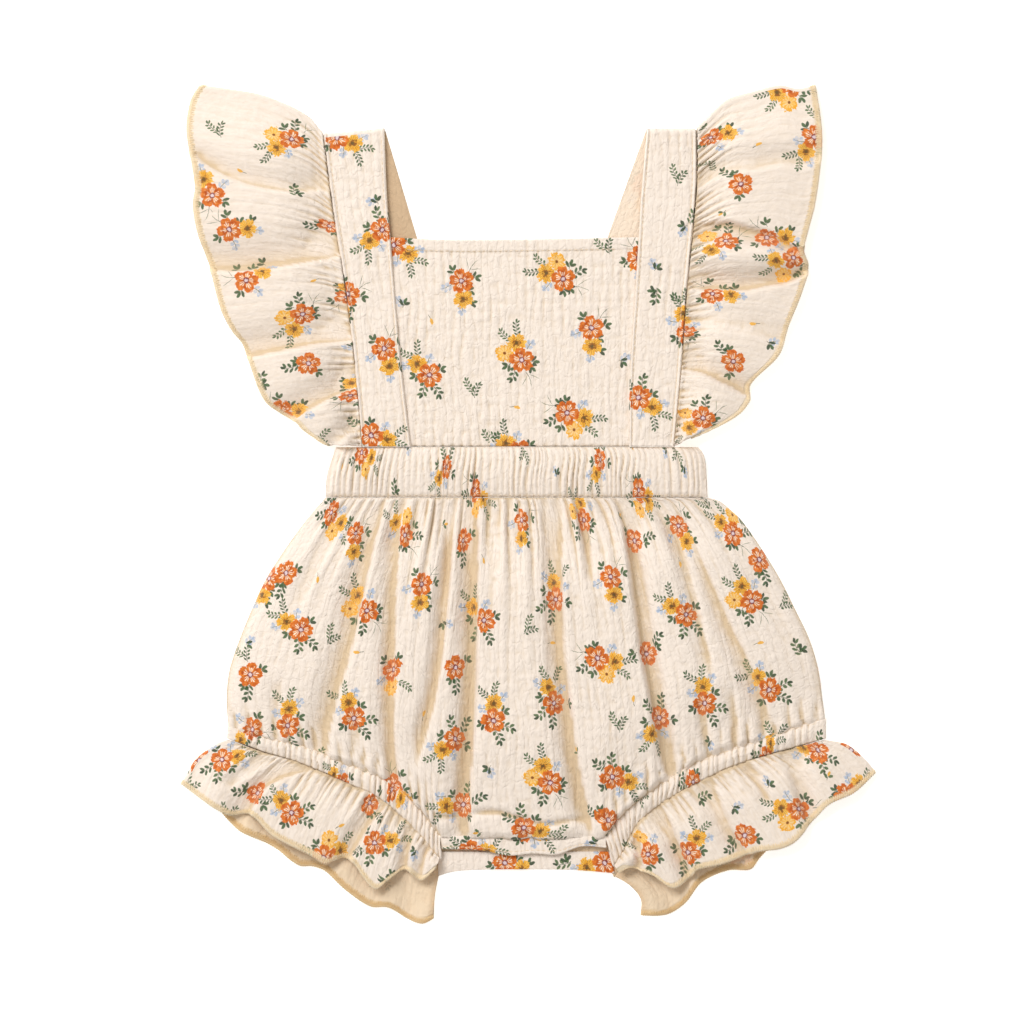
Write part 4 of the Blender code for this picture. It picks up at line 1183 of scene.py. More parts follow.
print(sum(len(sprays) for sprays in SPRAYS.values()), "sprays on the chart")

# %% [markdown]
# ### Laying the print
# Print lies in the cloth. Where the cloth is gathered, a drawing is drawn together with it, and where
# the cloth dips, the drawing dips too. So each drawing is measured out along the grid of its piece,
# from the grid's point nearest to its middle, and the cells around that point get coordinates in the
# drawing. Where two drawings of a layer meet, a cell takes the one whose middle is nearer.

# %% Laying the print on the cloth


def spray_motifs(spray):
    """The drawing, place, direction and layer of each motif of a spray."""
    turn = math.radians(spray.turn)
    cos, sin = math.cos(turn), math.sin(turn)
    sprigs = 0
    for motif in KINDS[spray.kind]:
        layer, tile, reach = DRAWINGS[motif.drawing]
        if layer == "sprig":
            layer = LAYERS[2 + sprigs % 2]
            sprigs += 1
        dx = motif.dx * spray.flip
        heading = motif.turn if spray.flip > 0 else 180 - motif.turn
        place = (spray.x + dx * cos - motif.dy * sin, spray.y + dx * sin + motif.dy * cos)
        yield layer, tile, reach, place, turn + math.radians(heading)


def direction(steps):
    """A step of length 1 the same way."""
    return steps / max(np.linalg.norm(steps), 1e-6)


# how much cloth is gathered into each length of a seam: far from it, more at it, over which share
CROWDS = {
    "waistband": (1.75, 0, 1), "shorts": (1.0, 0.8, 0.16), "flutter": (1.0, 0.7, 0.22),
    "leg_band": (1.5, 0, 1), "leg_ruffle": (1.0, 0.45, 0.25),
}


def crowding(name, pc):
    """How much more cloth than length there is along each row of a piece's grid."""
    far, more, fade = CROWDS.get(name.rsplit("_", 1)[0], (1.0, 0, 1))
    share = pc.across.mean(1) / pc.across.mean(1)[-1]
    return far + more * np.exp(-share / fade)


def closest(plan, place, first, last):
    """The row, column and squared distance of the grid's point nearest to a place."""
    apart = ((plan[:, first : last + 1] - place) ** 2).sum(2)
    r, c = np.unravel_index(apart.argmin(), apart.shape)
    return r, c + first, apart[r, c]


def lay_spray(pc, spray, first, last, maps, nearest, crowd):
    """Lay one spray on the columns first to last of a piece."""
    plan = pc.outer[..., :2]
    rows = plan.shape[0] - 1
    r, c, _ = closest(plan, (spray.x, spray.y), first, last)
    seam = direction(plan[r, min(c + 2, last)] - plan[r, max(c - 2, first)])
    drawn_in = 1 - 1 / crowd[r]
    for layer, tile, reach, place, heading in spray_motifs(spray):
        place = np.array(place)
        place -= seam * ((place - (spray.x, spray.y)) @ seam) * drawn_in
        r, c, apart = closest(plan, place, first, last)
        if apart > reach**2:
            continue
        near = np.abs(pc.along[r] - pc.along[r, c]) < reach * 1.3
        cols = np.flatnonzero(near[first : last + 1]) + first
        near = np.flatnonzero(np.abs(pc.across[:, c] - pc.across[r, c]) < reach * 1.3)
        if len(cols) < 2 or len(near) < 2:
            continue
        box = np.ix_(near, cols)
        s = (pc.along[box] - pc.along[near, c][:, None]) * crowd[near][:, None]
        t = pc.across[box] - pc.across[r, cols][None, :]
        by_s = direction(plan[r, min(c + 2, last)] - plan[r, max(c - 2, first)])
        by_t = direction(plan[min(r + 2, rows), c] - plan[max(r - 2, 0), c])
        at = s[..., None] * by_s + t[..., None] * by_t + (plan[r, c] - place)
        cos, sin = math.cos(heading), math.sin(heading)
        local = np.stack([at[..., 0] * cos + at[..., 1] * sin, at[..., 1] * cos - at[..., 0] * sin], axis=2)
        four = np.stack([local[:-1, :-1], local[:-1, 1:], local[1:, :-1], local[1:, 1:]], axis=2)
        away = np.linalg.norm(four.mean(2), axis=2) / reach
        cells = np.ix_(near[:-1], cols[:-1])
        wins = away < nearest[layer][cells]
        nearest[layer][cells] = np.where(wins, away, nearest[layer][cells])
        four = four / TILE + 0.5
        four[..., 0] += tile
        maps[layer][cells] = np.where(wins[..., None, None], four, maps[layer][cells])


LATTICE = (40, 34)  # millimetres of cloth along and across for each spray


def lattice(pc, first, last, seed):
    """Sprays spread over cloth that lies underneath, on an uneven lattice."""
    kinds = ("duo", "pair", "trio", "single", "duo", "ferns", "trio", "pair", "bells", "bud")
    wide, long = LATTICE
    along, across = pc.along[:, first : last + 1], pc.across[:, first : last + 1]
    found = []
    for j in range(int(across.max() / long) + 1):
        for i in range(int(along.min() / wide), int(along.max() / wide) + 1):
            s = (i + 0.5 * (j % 2) + 0.3 * scatter(i, j, seed)) * wide
            t = (j + 0.25 + 0.4 * scatter(i, j, seed + 1)) * long
            apart = (along - s) ** 2 + (across - t) ** 2
            if apart.min() > 4.0**2:  # it would lie off the cloth
                continue
            r, c = np.unravel_index(apart.argmin(), apart.shape)
            kind = kinds[int(scatter(i, j, seed + 2) * 9.99)]
            flip = 1 if scatter(i, j, seed + 4) > 0.5 else -1
            x, y = pc.outer[r, c + first, :2]
            found.append(Spray(kind, x, y, 360 * scatter(i, j, seed + 3), flip))
    return found


def lay_print(name, pc, sprays, seed):
    """For each layer of the print, the coordinates in its drawing of the corners of each cell."""
    rows, columns = pc.outer.shape[0] - 1, pc.outer.shape[1] - 1
    maps = {layer: np.zeros((rows, columns, 4, 2)) for layer in LAYERS}
    nearest = {layer: np.ones((rows, columns)) for layer in LAYERS}
    front = pc.front if pc.front > 0 else columns if sprays else 0
    crowd = crowding(name, pc)
    for spray in sprays:
        lay_spray(pc, spray, 0, front, maps, nearest, crowd)
    if front < columns:
        past_fold = 15 if name.startswith(("flutter", "strap")) else 0  # the turn shows from the front
        for spray in lattice(pc, front + past_fold, columns, seed):
            lay_spray(pc, spray, front, columns, maps, nearest, crowd)
    return maps


for layer, places in lay_print("bib", BIB, SPRAYS["bib"], 1).items():
    print(layer, "is printed on", int((places[..., 1].mean(2) > 0).sum()), "cells of the bib")

# %% [markdown]
# ## Dyes and gauze
# A printed cotton is matt, and its colours sink into the thread, so the whole print is base colour,
# and only the relief and a faint fuzz of fibres catch the light. The flowers are drawn with sums on
# their own coordinates. Python writes those sums: a small class wraps the output of a node, and each
# operator on it adds a Math node.

# %% Sums on nodes


def dye(red, green, blue):
    """A colour given as 0 to 255 on a screen, as the linear numbers that a shader wants."""
    parts = [value / 255 for value in (red, green, blue)]
    return tuple(v / 12.92 if v <= 0.04045 else ((v + 0.055) / 1.055) ** 2.4 for v in parts) + (1.0,)


class Wire:
    """The output of a node, on which Python's own sums work."""

    def __init__(self, tree, socket=None):
        self.tree = tree
        self.socket = socket

    def node(self, kind, settings=None, inputs=None, output=0):
        """A new node with its settings and the values or wires of its inputs."""
        made = self.tree.nodes.new(kind)
        for name, value in (settings or {}).items():
            if name == "stops":
                ramp = made.color_ramp
                while len(ramp.elements) < len(value):
                    ramp.elements.new(0.5)
                for element, (place, colour) in zip(ramp.elements, value):
                    element.position = place
                    element.color = colour
            elif name == "steps":
                made.color_ramp.interpolation = "CONSTANT" if value else "LINEAR"
            else:
                setattr(made, name, value)
        for key, value in (inputs or {}).items():
            if isinstance(value, Wire):
                self.tree.links.new(value.socket, made.inputs[key])
            else:
                made.inputs[key].default_value = value
        return Wire(self.tree, made.outputs[output])

    def output(self, number):
        """Another output of the same node."""
        return Wire(self.tree, self.socket.node.outputs[number])

    def math(self, operation, *others, clamp=False):
        inputs = dict(enumerate((self,) + others))
        return self.node("ShaderNodeMath", {"operation": operation, "use_clamp": clamp}, inputs)

    def __add__(self, other):
        return self.math("ADD", other)

    __radd__ = __add__

    def __mul__(self, other):
        return self.math("MULTIPLY", other)

    __rmul__ = __mul__

    def __sub__(self, other):
        return self.math("SUBTRACT", other)

    def __rsub__(self, other):
        return (self * -1) + other

    def __truediv__(self, other):
        return self.math("DIVIDE", other)

    def __pow__(self, other):
        return self.math("POWER", other)

    def __abs__(self):
        return self.math("ABSOLUTE")

    def soft(self, width):
        """1 where it is above zero and 0 below, over a soft edge."""
        return (self / width).math("ADD", 0.5, clamp=True)

    def mix(self, first, second):
        """The colour between two colours, with this wire as the share of the second."""
        inputs = {0: self, 6: first, 7: second}
        settings = {"data_type": "RGBA", "clamp_factor": True}
        return self.node("ShaderNodeMix", settings, inputs, output=2)


print("orange dye:", [round(v, 3) for v in dye(235, 126, 66)])

# %% Colours
CREAM = dye(244, 232, 221)
# painted shade: the darker, warmer cream that hollows and the low parts of the crinkle are painted with
CREAM_PAINTED_SHADE = dye(217, 195, 164)
# the inner face's cream is partly its own unprinted cloth and partly painted shade, as it lies underneath;
# the second colour is its painted shade in hollows
INSIDE, INSIDE_PAINTED_SHADE = dye(238, 217, 189), dye(224, 197, 164)
# painted light and shade: the left strap's inner face is painted darker, as it lies in shade at the neck,
# and the right one lighter, as it lies in light
INSIDE_STRAP_PAINTED_LIGHT = {"left": dye(208, 180, 147), "right": dye(245, 227, 207)}
INSIDE_STRAP_PAINTED_SHADE = {"left": INSIDE_PAINTED_SHADE, "right": dye(238, 212, 182)}
ORANGE, ORANGE_LIGHT, ORANGE_DARK = dye(220, 110, 30), dye(236, 142, 60), dye(184, 80, 20)
OCHRE, OCHRE_LIGHT, OCHRE_BROWN = dye(242, 172, 50), dye(250, 198, 92), dye(140, 84, 36)
STREAK = dye(253, 236, 214)
RING, EYE, CORE = dye(132, 56, 58), dye(226, 206, 212), dye(98, 84, 44)
GREEN, GREEN_DARK, GREEN_YELLOW = dye(68, 99, 60), dye(45, 70, 42), dye(98, 121, 74)
BLUE, BUD = dye(170, 188, 214), dye(240, 178, 62)
# the cloth that shows between the overlock threads
BOUND, BOUND_INSIDE = dye(244, 223, 186), dye(230, 196, 142)
print("cream is", [round(v, 2) for v in CREAM[:3]])

# %% [markdown]
# ### Flowers and leaves
# The real drawings look painted with a brush: soft wobbly edges, strokes that run out, and colour
# that pools in places. Here petals are a star in the angle around the middle, brush strokes a quick
# wave in that angle, and leaves a swelling on both sides of a stalk. One noise moves their edges and
# another stains their colours. Each layer is laid over the one before, as a screen prints it.

# %% Drawings of the flowers


def drawing_at(start, layer):
    """The layer's drawing number, and x and y in millimetres from the middle of the drawing."""
    place = start.node("ShaderNodeUVMap", {"uv_map": layer})
    x = start.node("ShaderNodeSeparateXYZ", None, {0: place})
    y = x.output(1)
    tile = x.math("FLOOR")
    return tile, (x - tile - 0.5) * TILE, (y - 0.5) * TILE


def petals(x, y, size, depth, wobble):
    """How far inside five lobed petals a point is, and the fan of the petals, 1 along each middle."""
    far = (x * x + y * y).math("SQRT")
    angle = y.math("ARCTAN2", x)
    fan = abs((angle * 2.5).math("SINE"))
    edge = (fan**0.55 * depth + (1.0 - depth) - fan**12.0 * 0.08) * size + wobble
    return edge - far, far, angle, fan


def orange_flower(start, cloth, wobble, stain):
    """The orange flower over the cloth: darker lobes, pale strokes, a ring and an eye."""
    _, x, y = drawing_at(start, "orange")
    inside, far, angle, fan = petals(x, y * 1.04, 7.2, 0.42, wobble * 1.7)
    colour = stain.mix(ORANGE_DARK, ORANGE_LIGHT)
    colour = ((far - 4.2) * 0.3).math("ADD", 0.0, clamp=True).mix(colour, ORANGE)
    strokes = ((angle * 20.0).math("COSINE") - 0.1 + stain * 0.4).soft(0.5)  # four pale ones in each petal
    near = (2.9 + stain * 2.1 + wobble * 1.5 - far).soft(0.8) * (fan - 0.62 + wobble * 0.25).soft(0.3)
    colour = (strokes * near * 0.95).mix(colour, STREAK)
    colour = ((0.12 - fan).soft(0.12) * (far - 1.6).soft(0.8) * 0.7).mix(colour, ORANGE_DARK)
    colour = (1.6 - far + wobble).soft(0.5).mix(colour, RING)
    colour = (0.95 - far + wobble).soft(0.4).mix(colour, EYE)
    return inside.soft(0.45).mix(cloth, colour)


def ochre_flowers(start, cloth, wobble, stain):
    """The full ochre flower of drawing 0 and the outlined, washed one of drawing 1."""
    tile, x, y = drawing_at(start, "ochre")
    inside, far, angle, fan = petals(x, y * 1.14, 5.7, 0.36, wobble * 2.8)
    colour = stain.mix(OCHRE_LIGHT, OCHRE)
    colour = ((0.16 - fan).soft(0.14) * (far - 2.2).soft(1.0) * 0.3).mix(colour, OCHRE_BROWN)
    strokes = ((angle * 20.0).math("COSINE") - 0.5).soft(0.4) * (4.4 - far + wobble * 3).soft(1.4)
    colour = (strokes * 0.5).mix(colour, OCHRE_BROWN)
    colour = ((1.9 + wobble * 3.5 - far).soft(0.8) * 0.9).mix(colour, OCHRE_BROWN)
    colour = ((0.9 + wobble - far).soft(0.4) * 0.8).mix(colour, CORE)
    is_open = (tile - 0.5).soft(0.1)
    full = inside.soft(0.45) * (0.5 - tile).soft(0.1)
    rim = (0.55 - abs(inside - 0.9)).soft(0.4)
    veins = ((angle * 10.0).math("COSINE") - 0.6).soft(0.3) * (inside - 1.2).soft(0.6)
    dot = (0.9 - far).soft(0.4)
    outline = rim.math("MAXIMUM", veins * 0.8).math("MAXIMUM", dot) * is_open
    washed = (inside.soft(0.5) * is_open * (0.65 + stain * 0.3)).mix(cloth, OCHRE_LIGHT)
    printed = full.mix(washed, colour)
    line = dot.mix(OCHRE, OCHRE_BROWN)
    return outline.mix(printed, line)


SPRIG_SIZES = {  # for each drawing: pitch, length and half width of its leaves in millimetres, pairs
    "fern": (1.9, 2.1, 0.6, 4), "stem": (2.7, 2.9, 0.85, 3), "leaves": (2.2, 3.5, 0.95, 1),
    "bells": (2.4, 2.5, 1.05, 2), "bud": (0.8, 3.6, 0.95, 1), "buds": (2.6, 2.9, 0.85, 1),
    "grass": (1.4, 6.4, 0.24, 1),
}


def by_tile(start, tile, rows):
    """A colour for each drawing number, as a ramp of steps."""
    stops = [(number / 8, tuple(row)) for number, row in enumerate(rows)]
    return start.node("ShaderNodeValToRGB", {"steps": True, "stops": stops}, {0: (tile + 0.5) / 8})


def sprigs(start, layer, cloth, wobble, stain):
    """Ferns, leafy stems, pairs of leaves, blue bells and yellow buds, which differ in their numbers."""
    tile, x, y = drawing_at(start, layer)
    y = y + x * x * 0.045 + wobble
    # a ramp's colours stay under 1, so it holds tenths of the sizes
    sizes = by_tile(start, tile, [(p / 10, n / 10, w / 10, 1) for p, n, w, _ in SPRIG_SIZES.values()])
    parts = start.node("ShaderNodeSeparateXYZ", None, {0: sizes})
    pitch, length, wide = [parts.output(number) * 10 for number in range(3)]
    pairs = by_tile(start, tile, [(row[3] / 10,) * 3 + (1,) for row in SPRIG_SIZES.values()]) * 10
    root = x + pairs * pitch * 0.5 + length * 0.4
    aside = abs(y)
    foot = root - aside * 0.9 + y.math("GREATER_THAN", 0.0) * pitch * 0.4  # the leaves sit by turns
    number = (foot / pitch).math("ROUND").math("MAXIMUM", 0).math("MINIMUM", pairs - 1)
    off = foot - number * pitch
    part = (aside * 1.35 + off * 0.67 - 0.45) / length
    swell = (part * (1 - part)).math("MAXIMUM", 0).math("SQRT") * wide * 2
    leaf = (swell - abs(off) * 0.74 - 0.1).soft(0.3)
    tip = (root - (pairs - 1) * pitch - 0.6) / length
    swell = (tip * (1 - tip)).math("MAXIMUM", 0).math("SQRT") * wide * 2
    end = (swell - aside - 0.1).soft(0.3)
    leaf = leaf * (1.0 - (abs(tile - 4.0) * -1 + 0.5).soft(0.2) * 0.95)  # a lone bud has no leaves
    stalk = (0.17 - aside).soft(0.2) * (root + 1.6).soft(0.5) * (pairs * pitch - root).soft(0.5)
    leaves = [GREEN, GREEN, GREEN_DARK, BLUE, GREEN, GREEN, GREEN]
    ends = [GREEN, GREEN_DARK, GREEN, BLUE, BUD, BUD, GREEN]
    second = GREEN_YELLOW if layer == "sprig_a" else GREEN_DARK
    leaf_colour = (stain * 0.7).mix(by_tile(start, tile, leaves), second)
    blue = (abs(tile - 3.0) * -1 + 0.5).soft(0.2)
    leaf_colour = blue.mix(leaf_colour, BLUE)
    printed = (stalk * 0.85).mix(cloth, GREEN_DARK)
    watery = 0.94 - blue * (1.0 - stain) * 0.55
    printed = (leaf * watery).mix(printed, leaf_colour)
    return (end * watery).mix(printed, by_tile(start, tile, ends))


print(len(SPRIG_SIZES), "kinds of sprig from one drawing")

# %% [markdown]
# ### Gauze
# Double gauze is two thin plain weaves that are caught together in places. Washing shrinks them
# unevenly, and they crinkle. The grid carries the larger pillows of that crinkle, and the bump here
# its finer lines and breaks, and the threads of the weave. Hollows and the low parts of the crinkle
# are painted with shade, a deeper, warmer cream, and the print fades a little there. The inner face gets the
# same cloth with the print showing through faintly.

# %% Gauze


def gauze(name, ground, deep, bound, strength):
    """Crinkled double gauze with the print on it; deep is the colour of its painted shade in hollows, and
    strength is how much of the print shows.
    """
    material = bpy.data.materials.new(name)
    material.use_nodes = True
    tree = material.node_tree
    start = Wire(tree)
    cloth_map = start.node("ShaderNodeUVMap", {"uv_map": CLOTH_MAP})
    parts = start.node("ShaderNodeSeparateXYZ", None, {0: cloth_map})
    s, t = parts * 100, parts.output(1) * 100  # millimetres along and across the cloth

    def kept(name):
        return start.node("ShaderNodeAttribute", {"attribute_name": name}, None, output=2)

    def noise(scale_s, scale_t, detail):
        where = start.node("ShaderNodeCombineXYZ", None, {0: s / scale_s, 1: t / scale_t})
        settings = {"noise_dimensions": "2D"}
        return start.node("ShaderNodeTexNoise", settings, {"Vector": where, "Scale": 1.0, "Detail": detail})

    bent = s + (noise(9.0, 30.0, 1.0) - 0.5) * 7.0 + (noise(2.6, 6.0, 1.0) - 0.5) * 1.7
    slack = kept("slack")
    lines = abs((bent * (math.pi / 3.9)).math("SINE")) ** 0.6 * noise(3.6, 5.0, 1.0)
    across = t * (math.pi / 4.6) + noise(3.4, 5.0, 1.0) * 7.0
    breaks = abs(across.math("SINE")) ** 0.6 * noise(4.0, 4.0, 0.0)
    crepe = (lines * 0.52 + breaks * 0.4) * (1.0 - slack * 0.6) + slack * 0.2 + noise(1.5, 2.3, 2.0) * 0.36
    wobble = (noise(1.15, 1.15, 1.0) - 0.5) * 1.2
    stain = ((noise(2.2, 2.2, 2.0) - 0.5) * 2.6).math("ADD", 0.5, clamp=True)
    valley = kept("valley")
    slub = noise(1.1, 9.0, 2.0)
    # painted shade: the cloth is painted darker and warmer in hollows and in the low parts of the crinkle;
    # the slub is the yarn's own unevenness
    cloth = (valley * 1.1 + (slub - 0.5) * 0.3 + (0.5 - crepe) * 0.55).mix(ground, deep)
    hem = kept("hem")
    printed = sprigs(start, "sprig_a", cloth, wobble * 0.5, stain)
    printed = sprigs(start, "sprig_b", printed, wobble * 0.5, stain)
    printed = ochre_flowers(start, printed, wobble, stain)
    printed = orange_flower(start, printed, wobble, stain)
    # painted shade: the print fades a little in the hollows
    share = valley * -0.12 + strength
    colour = share.mix(cloth, printed)
    zigzag = ((s + t * 0.55) * (2 * math.pi / 1.2)).math("SINE")
    colour = (hem * (0.72 + zigzag * 0.2)).mix(colour, bound)
    threads = (s * (2 * math.pi / 0.85)).math("SINE") * (t * (2 * math.pi / 0.85)).math("SINE")
    height = (1.0 - hem * 0.7) * crepe + threads * 0.022 + hem * zigzag * 0.1
    relief = start.node("ShaderNodeBump", None, {"Strength": 0.75, "Distance": MM, "Height": height})
    shader = tree.nodes["Principled BSDF"]
    tree.links.new(colour.socket, shader.inputs["Base Color"])
    tree.links.new(relief.socket, shader.inputs["Normal"])
    shader.inputs["Roughness"].default_value = 0.88
    shader.inputs["Specular IOR Level"].default_value = 0.25
    shader.inputs["Sheen Weight"].default_value = 0.22
    shader.inputs["Sheen Roughness"].default_value = 0.55
    return material


GAUZE = gauze("printed_gauze", CREAM, CREAM_PAINTED_SHADE, BOUND, 1.0)
GAUZE_INSIDE = gauze("gauze_inside", INSIDE, INSIDE_PAINTED_SHADE, BOUND_INSIDE, 0.27)
# lit and shaded copies of the inside gauze, with light and shade painted into their colours
STRAP_INSIDE_PAINTED_LIGHT = {
    side: gauze(f"strap_inside_painted_light_{side}", ground, INSIDE_STRAP_PAINTED_SHADE[side], BOUND_INSIDE, 0.1)
    for side, ground in INSIDE_STRAP_PAINTED_LIGHT.items()
}
print(len(GAUZE.node_tree.nodes), "nodes draw the print")

# %% [markdown]
# ## Sewing
# Threads are what tells a real garment from a folded sheet. Rows of topstitching hold down the
# hem of the bib, the straps and the casings, and an overlock machine has bound the raw hems of the
# frills with loops of golden thread. Both are drawn as curves with a round profile along the grid of
# the cloth, so that they follow every gather, and are then made into meshes.

# %% Threads


def thread_material(name, colour, shade):
    """Spun cotton thread, a little uneven in colour along its length."""
    material = bpy.data.materials.new(name)
    material.use_nodes = True
    start = Wire(material.node_tree)
    place = start.node("ShaderNodeTexCoord", None, None, output=3)
    slub = start.node("ShaderNodeTexNoise", None, {"Vector": place, "Scale": 900.0, "Detail": 1.0})
    twist = start.node("ShaderNodeTexNoise", None, {"Vector": place, "Scale": 4200.0, "Detail": 0.0})
    shader = material.node_tree.nodes["Principled BSDF"]
    colours = (slub * 1.6 - 0.3).math("ADD", 0.0, clamp=True).mix(colour, shade)
    relief = start.node("ShaderNodeBump", None, {"Strength": 0.4, "Distance": 0.0001, "Height": twist})
    material.node_tree.links.new(colours.socket, shader.inputs["Base Color"])
    material.node_tree.links.new(relief.socket, shader.inputs["Normal"])
    shader.inputs["Roughness"].default_value = 0.7
    shader.inputs["Sheen Weight"].default_value = 0.2
    return material


SEWING_THREAD = thread_material("sewing_thread", dye(243, 226, 200), dye(226, 200, 164))
OVERLOCK_THREAD = thread_material("overlock_thread", dye(252, 236, 206), dye(242, 216, 172))
OVERLOCK_INSIDE = thread_material("overlock_thread_inside", dye(242, 214, 168), dye(226, 186, 124))


def thread(name, runs, thickness, material):
    """Runs of points, in millimetres, as one mesh of thin round threads."""
    curve = bpy.data.curves.new(name, "CURVE")
    curve.dimensions = "3D"
    curve.bevel_depth = thickness / 2 * MM
    curve.bevel_resolution = 0
    curve.use_fill_caps = True
    for run in runs:
        spline = curve.splines.new("POLY")
        spline.points.add(len(run) - 1)
        spline.points.foreach_set("co", np.column_stack([run * MM, np.ones(len(run))]).ravel())
    drawn = bpy.data.objects.new(f"{name}_curve", curve)
    mesh = bpy.data.meshes.new_from_object(drawn)
    bpy.data.objects.remove(drawn)
    mesh.name = name
    mesh.materials.clear()
    mesh.materials.append(material)
    mesh.shade_smooth()
    sewn = bpy.data.objects.new(name, mesh)
    scene.collection.objects.link(sewn)
    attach(sewn, "root")
    return sewn


def measured(line, step):
    """Places on a line of points, as shares of their count, one at each step of its length."""
    marks = lengths(line)
    count = max(int(marks[-1] / step), 1)
    return np.interp(np.arange(count + 1) * step, marks, np.linspace(0, 1, len(marks)))


STITCH_LIFT = np.array([-0.1, 0.12, -0.1])  # the thread dips into the cloth at both ends of a stitch


def topstitch(pc, rows, columns, pitch=2.9, length=2.1):
    """Dashes of thread on the cloth, along a line of grid places."""
    share = np.linspace(0, 1, len(rows))
    line = on_cloth(pc, rows, columns)
    scale = length / lengths(line)[-1]
    runs = []
    for start in measured(line, pitch)[:-1]:
        part = start + scale * np.array([0.0, 0.5, 1.0])
        places = [np.interp(part, share, numbers) for numbers in (rows, columns)]
        runs.append(on_cloth(pc, *places, STITCH_LIFT[:, None]))
    return runs


# one loop: how far in from the hem each of its points lies, and whether on the cloth's face or its edge
LOOP_DEPTH = np.array([-0.1, 0.5, 1.0, 1.0, 0.5, -0.1])
LOOP_FACE = np.array([0, 1, 1, 1, 1, 0])


def overlock(pc, columns, lift, pitch=1.25, reach=2.5):
    """One thread that loops from the hem over one face of the cloth, from one column to another."""
    dense = np.linspace(columns[0], columns[1], 900)
    last = pc.outer.shape[0] - 1
    edge = on_cloth(pc, np.full(len(dense), float(last)), dense)
    steps = len(LOOP_DEPTH)
    at = np.interp(measured(edge, pitch / steps), np.linspace(0, 1, len(dense)), dense)
    phase = np.arange(len(at)) % steps
    per_row = max(float(pc.across[-1].mean()) / last, 0.1)
    deep = LOOP_DEPTH[phase] * reach * (1 + 0.15 * np.sin(at * 1.7))
    height = np.where(LOOP_FACE[phase] > 0, lift, -THIN / 2)
    base = on_cloth(pc, last - np.maximum(deep, 0) / per_row, at, height[:, None])
    out = on_cloth(pc, np.full(len(at), float(last)), at) - on_cloth(pc, np.full(len(at), last - 1.0), at)
    out /= np.maximum(np.linalg.norm(out, axis=1, keepdims=True), 1e-6)
    base += out * np.where(deep < 0, 0.2, 0.0)[:, None]
    base[:, 2] = np.maximum(base[:, 2], 0.12)
    return base


print("threads:", SEWING_THREAD.name, OVERLOCK_THREAD.name)

# %% [markdown]
# ### Stitches and bound hems
# The straps have a row along each edge, the bib one under its hem, and the casings and the front
# crotch strip one each. The rows and columns in the calls are places in the grid of the piece. The
# back half of a frill shows its other face, so there the overlock thread lies on that face.

# %% Stitches and bound hems
SEWN = {name: [] for name in PIECES}


def sewn_on(name, runs, kind, thickness, material):
    """Sew runs of thread to a piece."""
    SEWN[name].append(thread(f"{name}_{kind}", runs, thickness, material))


for side in WAY:
    strap = PIECES[f"strap_{side}"]
    last = STRAP_COLUMNS[0]
    along = np.linspace(2, last - 1, 300)
    width = np.linalg.norm(strap.outer[-1, : last + 1] - strap.outer[0, : last + 1], axis=1)
    lines = []
    for edge, inset in STRAP_STITCHES.items():
        share = np.interp(along, np.arange(last + 1), inset / width)
        share = share if edge == "outer" else 1 - share
        lines += topstitch(strap, np.interp(share, STRAP_ROWS, np.arange(len(STRAP_ROWS))), along)
    sewn_on(f"strap_{side}", lines, "stitches", 0.34, SEWING_THREAD)
    for name in (f"flutter_{side}", f"leg_ruffle_{side}"):
        pc = PIECES[name]
        fold, end = pc.front + 5, pc.outer.shape[1] - 1  # the back half shows its other face
        sewn_on(name, [overlock(pc, (0.5, fold), 0.12)], "overlock", 0.4, OVERLOCK_THREAD)
        sewn_on(name, [overlock(pc, (fold, end - 0.5), -THIN - 0.12)], "overlock_back", 0.4, OVERLOCK_INSIDE)
    band = PIECES[f"leg_band_{side}"]
    line = topstitch(band, np.full(300, 1.4), np.linspace(3, 196, 300), pitch=3.2)  # near its upper edge
    sewn_on(f"leg_band_{side}", line, "stitches", 0.3, SEWING_THREAD)

under = (BIB.across[-1] - BIB.across).mean(1)[::-1]
hem_row = np.interp(BIB_STITCHES, under, np.arange(len(under))[::-1])
lines = topstitch(BIB, np.full(300, hem_row), np.linspace(12, 114, 300))
sewn_on("bib", lines, "stitches", 0.34, SEWING_THREAD)
lines = topstitch(WAISTBAND_FRONT, np.full(600, 25.4), np.linspace(3, 317, 600))  # near its lower edge
sewn_on("waistband_front", lines, "stitches", 0.28, SEWING_THREAD)
lines = topstitch(CROTCH_FRONT, np.full(200, 10.3), np.linspace(2, 108, 200))  # in its groove
sewn_on("crotch_front", lines, "stitches", 0.32, SEWING_THREAD)
threads = [piece for made in SEWN.values() for piece in made]
print(len(threads), "pieces of sewing,", sum(len(t.data.polygons) for t in threads), "faces")

# %% [markdown]
# ## Dressing the romper
# Now each piece gets its shell, its maps and its print. The bake map puts the cloth into bands, the
# face that shows first and widest, so that a bake through it has most detail there. How deep a
# point lies under the cloth around it is kept too, to paint shade into the colour of the hollows,
# because light that reaches a hollow has touched warm cloth before.

# %% Maps of a piece


def bake_bands(pc):
    """Where each band of a piece lies in its bake map: kind, first and last column, low and high."""
    columns = pc.outer.shape[1] - 1
    front = pc.front if pc.front > 0 else columns
    if front < columns:  # it lies folded
        shares = [(1, 0, front, 0.46), (1, front, columns, 0.2), (0, 0, front, 0.14)]
        shares.append((0, front, columns, 0.2))
    else:
        outer = 0.62 if pc.front > 0 else 0.5
        shares = [(1, 0, front, outer), (0, 0, front, 1 - outer)]
    bands, low = [], 0.0
    for kind, first, last, share in shares:
        bands.append((kind, first, last, low, low + share))
        low += share
    return bands


